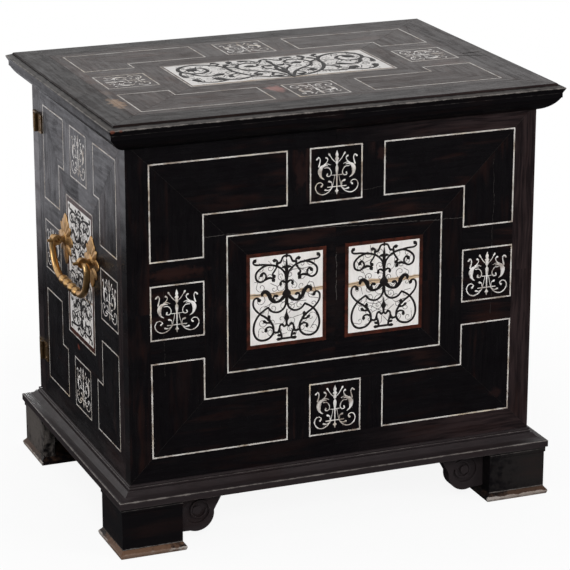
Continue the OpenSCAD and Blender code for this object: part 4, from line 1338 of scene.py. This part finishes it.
class CABINET_OT_bone(Operator):
    """Finish the inlaid lines, plaques, borders, drawer pulls and the keyhole's escutcheon"""

    bl_idname = "cabinet.bone"
    bl_label = "Bone and borders"

    def execute(self, context):
        bone = context.scene.cabinet_inlay
        turned_bone = old_bone("bone_turned", bone, bone.white, 0.6, 0.2)
        finishes = {
            "stringing": old_bone("bone_lines", bone, bone.line, 0.7, 0.8),
            "plaque": old_bone("bone_plaques", bone, bone.white, 0.12, 0.12, cracked=True),
            "border": red_stained("border_red", bone),
            "pull": turned_bone,
            "keyhole": turned_bone,
        }
        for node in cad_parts:
            for start, material in finishes.items():
                if node.startswith(start):
                    dress(node, material)
        return {"FINISHED"}


class CABINET_OT_motifs(Operator):
    """Lay the white ornament into the small squares"""

    bl_idname = "cabinet.motifs"
    bl_label = "Ornament of the squares"

    def execute(self, context):
        inlay = context.scene.cabinet_inlay
        bone = old_bone("bone_motifs", inlay, inlay.white, 0.6, 0.75)
        # Quarter turns by which the motifs of the top point outwards
        outward = {"up": 0, "left": 1, "down": 2, "right": 3}
        for name, face in FACES.items():
            chance = np.random.default_rng(len(name) * 7 + ord(name[-1]))
            scale = face.square / MOTIF_SQUARE
            rise = TOP_RISE if name == "top" else inlay.rise
            parts = []
            for way, middle in face.spots().items():
                turn = outward[way] if name == "top" else 0
                size = scale * chance.uniform(0.97, 1.02, 2)
                shift = np.array(middle) + chance.uniform(-0.7, 0.7, 2) * scale
                slim = scale * MOTIF_WEIGHT * chance.uniform(0.85, 1.1)
                parts += drawn(face, SQUARE_MOTIF, shift, size * MOTIF_SIZE, turn, rise, slim)
            make_piece("motifs_" + name, parts, bone, face.body)
        return {"FINISHED"}


class CABINET_OT_scrolls(Operator):
    """Draw the black scrolls and the fine engraving on the plaques"""

    bl_idname = "cabinet.scrolls"
    bl_label = "Scrolls of the plaques"

    def execute(self, context):
        inlay = context.scene.cabinet_inlay
        ink = scroll_black("scroll_black", inlay)
        fine = engraved_hairline("engraving_grey", inlay)
        whole = {"scale": (1, 1), "turn": 0}
        for name, face in FACES.items():
            half, motif, copies = self.arranged(name, face)
            rise = TOP_RISE if name == "top" else inlay.rise
            parts = []
            for middle, scale, turn in copies:
                parts += drawn(face, motif, np.array(middle), scale, turn, rise, SCROLL_WEIGHT[name])
            if name in FILLING:
                lines = small_curls(half, FILLING[name], 5 + len(name))
                parts += drawn(face, lines, np.zeros(2), rise=rise, slim=GROUND_CURL, steps=4, **whole)
            make_piece("scrolls_" + name, parts, ink, face.body)
            count = int(inlay.curls * half[0] * half[1] / (BACK_PLAQUE[0] * BACK_PLAQUE[1]))
            parts = []
            for number, x in enumerate((-BACK_PLAQUE_AT, BACK_PLAQUE_AT) if name == "back" else (0.0,)):
                lines = small_curls(half, count, 11 + number + len(name))
                size = {"rise": rise * 0.45, "slim": FINE_CURL, "steps": 3, "around": 4}
                parts += drawn(face, lines, np.array([x, 0.0]), **size, **whole)
            make_piece("engraving_" + name, parts, fine, face.body)
        return {"FINISHED"}

    def arranged(self, name, face):
        """Half the size of a face's plaque, its pattern, and the middle, scale and turn of each copy."""
        if name == "back":
            return BACK_PLAQUE, PLAQUE_MOTIF, [((x * BACK_PLAQUE_AT, 0), (1, 1), 0) for x in (-1, 1)]
        half = face.inner
        if name == "top":
            return half, LONG_MOTIF, [((0, 0), half / LONG_DRAWN, 0)]
        fit = np.array([half[0], half[1] / 2]) / PLAQUE_DRAWN
        return half, PLAQUE_MOTIF, [((0, half[1] / 2), fit, 0), ((0, -half[1] / 2), fit, 2)]


class CABINET_OT_handles(Operator):
    """Make the carrying handles: rods with turned beads, and leaf plates with a boss"""

    bl_idname = "cabinet.handles"
    bl_label = "Carrying handles"

    def execute(self, context):
        shape = context.scene.cabinet_handles
        gold = gilding("gilding_rods", shape, shape.gold, 0.3, BEAD_HOLLOWS)
        leaves = gilding("gilding_leaves", shape, shape.gold, 0.65)
        path, radii = self.rod(shape)
        for side, sign in SIDES:
            outward = np.array([sign, 0.0, 0.0])
            place = np.stack([np.full(len(path), EYE_X * sign), path[:, 0], EYE_Z + path[:, 1]], 1)
            rod = swept_rod(place, radii, np.array([1.0, 0.0, 0.0]))
            make_piece("rod_" + side, [rod], gold, f"bail_{side}_drop", (f"bail_{side}",))
            parts = []
            for y in (-EYE_Y, EYE_Y):
                parts += self.plate(shape, np.array([HALF_W * sign, y, EYE_Z]), outward)
            make_piece("leaves_" + side, parts, leaves, "case", (f"handle_plates_{side}",))
            dress(f"handle_posts_{side}", gold)
        return {"FINISHED"}

    def rod(self, shape):
        """The rod's middle line across and up from the pivots, and its radii: pins, bends and a level bar."""
        low, high = node_box("bail_right")
        drop = EYE_Z - low[2] - BAR_HALF
        wide = high[1] - ARM_HALF
        bend = np.linspace(0, np.pi / 2, 9)
        wide_bend = np.linspace(0, np.pi / 2, 20)
        pin = np.stack([np.linspace(PIN_START, wide - SHOULDER, 6)[:-1], np.zeros(5)], 1)
        shoulder = np.stack([wide - SHOULDER + SHOULDER * np.sin(bend), SHOULDER * (np.cos(bend) - 1)], 1)
        across = wide - CORNER * (1 - np.cos(wide_bend))
        corner = np.stack([across, CORNER - drop - CORNER * np.sin(wide_bend)], 1)
        bar = np.stack([np.linspace(wide - CORNER, 0, 81)[1:], np.full(80, -drop)], 1)
        half = np.concatenate([pin, shoulder, corner, bar])
        path = np.concatenate([half, (half * [-1, 1])[-2::-1]])
        steps = np.linalg.norm(np.diff(path, axis=0), axis=1)
        along = np.concatenate([[0.0], np.cumsum(steps)])
        along = abs(along - along[-1] / 2)
        arm = shape.rod + ARM_GROWS * np.clip(-path[:, 1] / drop, 0, 1)
        radii = np.where(path[:, 1] > -0.01, PIN_RADIUS, arm)
        drum = np.clip((DRUM_END - along) / DRUM_FADE, 0, 1) * (shape.drum - shape.rod - ARM_GROWS)
        beads = bead_swell(along, BEADS, shape.bead, BEAD_SPREAD)
        hollows = bead_swell(along, BEAD_HOLLOWS, shape.bead * HOLLOW_DEPTH, HOLLOW_SPREAD)
        return path, radii + drum + beads - hollows

    def plate(self, shape, middle, outward):
        """Four leaves in a cross and a turned boss."""
        up = np.array([0.0, 0.0, 1.0])
        across = np.array([0.0, 1.0, 0.0])
        leaves = ((up, LEAF_UP), (-up, LEAF_DOWN), (across, LEAF_LEVEL), (-across, LEAF_LEVEL))
        parts = [
            palmette(lobes, spread, middle, way, outward, shape.crown) for way, (spread, lobes) in leaves
        ]
        return [*parts, turned(BOSS, middle, outward, 40)]


class CABINET_OT_hinges(Operator):
    """Finish the hinges and add the heads of their nails"""

    bl_idname = "cabinet.hinges"
    bl_label = "Hinges"

    def execute(self, context):
        shape = context.scene.cabinet_handles
        brass = gilding("gilding_hinges", shape, shape.tarnished, 0.9)
        for node in ("hinge_case_leaves", "hinge_door_leaves_left", "hinge_door_leaves_right"):
            dress(node, brass)
        low, high = node_box("hinge_case_leaves")
        hinges = (high[2] - NAIL_FROM_END, low[2] + NAIL_FROM_END)
        heights = [up + shift for up in hinges for shift in (-NAIL_APART, NAIL_APART)]
        case_parts = []
        for side, sign in SIDES:
            outward = np.array([sign, 0.0, 0.0])
            x = (HALF_W + HINGE_THICK) * sign
            door_edge = node_box(f"hinge_door_leaves_{side}")[0][1]
            door_parts = []
            for z in heights:
                case_parts.append(turned(NAIL, np.array([x, high[1] - NAIL_FROM_EDGE, z]), outward, 14))
                door_parts.append(turned(NAIL, np.array([x, door_edge + NAIL_FROM_EDGE, z]), outward, 14))
            make_piece("nails_door_" + side, door_parts, brass, f"door_{side}_swing")
        make_piece("nails_case", case_parts, brass, "case")
        return {"FINISHED"}


# Soft square lamps: place, aim, width, power, and whether the polished faces mirror them. The key and the
# fill would veil the top from the front.
LAMPS = {
    "key": ((1.0, 2.7, 1.7), (0, 0.1, 0.22), 1.2, 48.0, False),
    "fill": ((-1.9, 2.1, 1.0), (0, 0.1, 0.2), 1.3, 28.0, False),
    "top": ((-0.2, -0.9, 2.6), (0, 0, 0.3), 1.6, 8.0, True),
    "side": ((2.6, -0.3, 0.8), (0.1, 0, 0.25), 1.2, 20.0, True),
    "front": ((-0.6, -2.3, 0.2), (0, -0.1, 0.2), 0.38, 14.0, True),
}
CAMERA_AT = (0.8783, 2.2156, 0.951)
CAMERA_WAY = (-0.3533, -0.8846, -0.3043)
# How far from the cabinet the floor fades to white, in millimetres
FLOOR_FADES = (300.0, 700.0)
# Where the floor in front of the doors turns white in the polish
FLOOR_SHINES = (-690.0, -1060.0)
WHITE = (1.0, 1.0, 1.0)
RAYS = ("Camera", "Glossy", "Transmission")


class CABINET_OT_stage(Operator):
    """Set the pale floor, the soft lamps, the surroundings and the camera"""

    bl_idname = "cabinet.stage"
    bl_label = "Stage"

    def execute(self, context):
        scene = context.scene
        stage = scene.cabinet_stage
        self.floor(stage.floor)
        self.surroundings(scene, stage.ambient)
        self.lamps(scene, stage.light)
        self.camera(scene, stage.lens)
        scene.view_settings.view_transform = "Standard"
        return {"FINISHED"}

    def floor(self, reach):
        """A square of pale floor. It is white to the camera far off, and takes the cabinet's shadow."""
        mesh = bpy.data.meshes.new("floor")
        corners = [(-reach, -reach, 0), (reach, -reach, 0), (reach, reach, 0), (-reach, reach, 0)]
        mesh.from_pydata(corners, [], [(0, 1, 2, 3)])
        floor = bpy.data.objects.new("floor", mesh)
        bpy.context.scene.collection.objects.link(floor)
        material = bpy.data.materials.new("floor_pale")
        material.use_nodes = True
        tree = material.node_tree
        tree.nodes.clear()
        x, y, _z = position(tree).parts()
        distance = ((x * x) + (y * y)).math("SQRT")
        speckle = noise(joined(x, y, 0.0), 0.02, 3.0)
        camera, glossy, mirrored = ray_kinds(tree)
        pale = tree.nodes.new("ShaderNodeBsdfDiffuse")
        ground = mixed(glossy, (0.3, 0.3, 0.3), (0.05, 0.05, 0.055))
        paper = mixed(speckle.ramp(0.3, 0.7), (0.88, 0.88, 0.88), (0.92, 0.92, 0.92))
        connect(mixed(camera, ground, paper), pale.inputs["Color"])
        white = tree.nodes.new("ShaderNodeEmission")
        connect(mixed(camera, (0.95, 0.94, 1.0), WHITE), white.inputs["Color"])
        seen = camera * ((distance.ramp(*FLOOR_FADES) * 0.1) + 0.9)
        mix = tree.nodes.new("ShaderNodeMixShader")
        connect(seen.most(mirrored * y.ramp(*FLOOR_SHINES)), mix.inputs[0])
        tree.links.new(pale.outputs[0], mix.inputs[1])
        tree.links.new(white.outputs[0], mix.inputs[2])
        output = tree.nodes.new("ShaderNodeOutputMaterial")
        tree.links.new(mix.outputs[0], output.inputs["Surface"])
        mesh.materials.append(material)

    def surroundings(self, scene, ambient):
        """White to the camera, bright in the polish where they lie in front, and a dim room otherwise."""
        world = bpy.data.worlds.new("surroundings")
        world.use_nodes = True
        tree = world.node_tree
        background = tree.nodes["Background"]
        background.inputs["Color"].default_value = (*WHITE, 1.0)
        coordinates = tree.nodes.new("ShaderNodeTexCoord")
        _x, y, _z = Field(tree, coordinates.outputs["Generated"]).parts()
        camera, _glossy, mirrored = ray_kinds(tree)
        direct = camera.most(mirrored * ((y.ramp(0.25, -0.35) * 0.55) + 0.22))
        connect(direct + (direct.under(0.01) * ambient), background.inputs["Strength"])
        scene.world = world

    def lamps(self, scene, strength):
        """The soft square lamps, each turned to its own aim."""
        for name, (place, aim, width, power, is_mirrored) in LAMPS.items():
            light = bpy.data.lights.new("lamp_" + name, "AREA")
            light.size = width
            light.energy = power * strength
            lamp = bpy.data.objects.new("lamp_" + name, light)
            scene.collection.objects.link(lamp)
            lamp.matrix_world = look(place, np.subtract(aim, place))
            lamp.visible_glossy = is_mirrored

    def camera(self, scene, lens):
        """The camera stands where the photograph's was."""
        camera = bpy.data.cameras.new("camera")
        camera.lens = lens
        camera.sensor_width = 36.0
        view = bpy.data.objects.new("camera", camera)
        scene.collection.objects.link(view)
        view.matrix_world = look(CAMERA_AT, np.array(CAMERA_WAY))
        scene.camera = view


def ray_kinds(tree):
    """Masks of the camera's own rays, of glossy ones, and of all that are mirrored or pass through."""
    rays = tree.nodes.new("ShaderNodeLightPath")
    camera, glossy, through = (Field(tree, rays.outputs[f"Is {kind} Ray"]) for kind in RAYS)
    return camera, glossy, glossy.most(through)


def look(place, way):
    """A placing that looks in the direction way with the world's up upwards."""
    way = way / np.linalg.norm(way)
    right = np.cross(way, [0.0, 0.0, 1.0])
    right /= np.linalg.norm(right)
    turn = np.eye(4)
    turn[:3, :] = np.stack([right, np.cross(right, way), -way, place], 1)
    return Matrix(turn.tolist())


OPERATORS = (
    CABINET_OT_groups,
    CABINET_OT_veneer,
    CABINET_OT_mouldings,
    CABINET_OT_inside,
    CABINET_OT_bone,
    CABINET_OT_motifs,
    CABINET_OT_scrolls,
    CABINET_OT_handles,
    CABINET_OT_hinges,
    CABINET_OT_stage,
)
SETTINGS = {
    "cabinet_wood": CabinetWoodFinish,
    "cabinet_inlay": CabinetInlayFinish,
    "cabinet_handles": CabinetHandleShape,
    "cabinet_stage": CabinetStage,
}


class VIEW3D_PT_cabinet(Panel):
    """Lists the cabinet's pieces and their values"""

    bl_label = "Table cabinet"
    bl_space_type = "VIEW_3D"
    bl_region_type = "UI"
    bl_category = "Cabinet"

    def draw(self, context):
        for operator in OPERATORS:
            self.layout.operator(operator.bl_idname)
        for name, group in SETTINGS.items():
            box = self.layout.box()
            for value in group.__annotations__:
                box.prop(getattr(context.scene, name), value)


def register():
    """Makes the values, the operators and the panel known."""
    for group in SETTINGS.values():
        bpy.utils.register_class(group)
    for name, group in SETTINGS.items():
        setattr(bpy.types.Scene, name, PointerProperty(type=group))
    for operator in (*OPERATORS, VIEW3D_PT_cabinet):
        bpy.utils.register_class(operator)


def unregister():
    """Takes them away again."""
    for operator in reversed((*OPERATORS, VIEW3D_PT_cabinet)):
        bpy.utils.unregister_class(operator)
    for name, group in SETTINGS.items():
        delattr(bpy.types.Scene, name)
        bpy.utils.unregister_class(group)


def main():
    """Finishes the cabinet piece by piece."""
    register()
    for operator in OPERATORS:
        group, name = operator.bl_idname.split(".")
        getattr(getattr(bpy.ops, group), name)()
    bpy.context.view_layer.update()


if __name__ == "__main__":
    main()
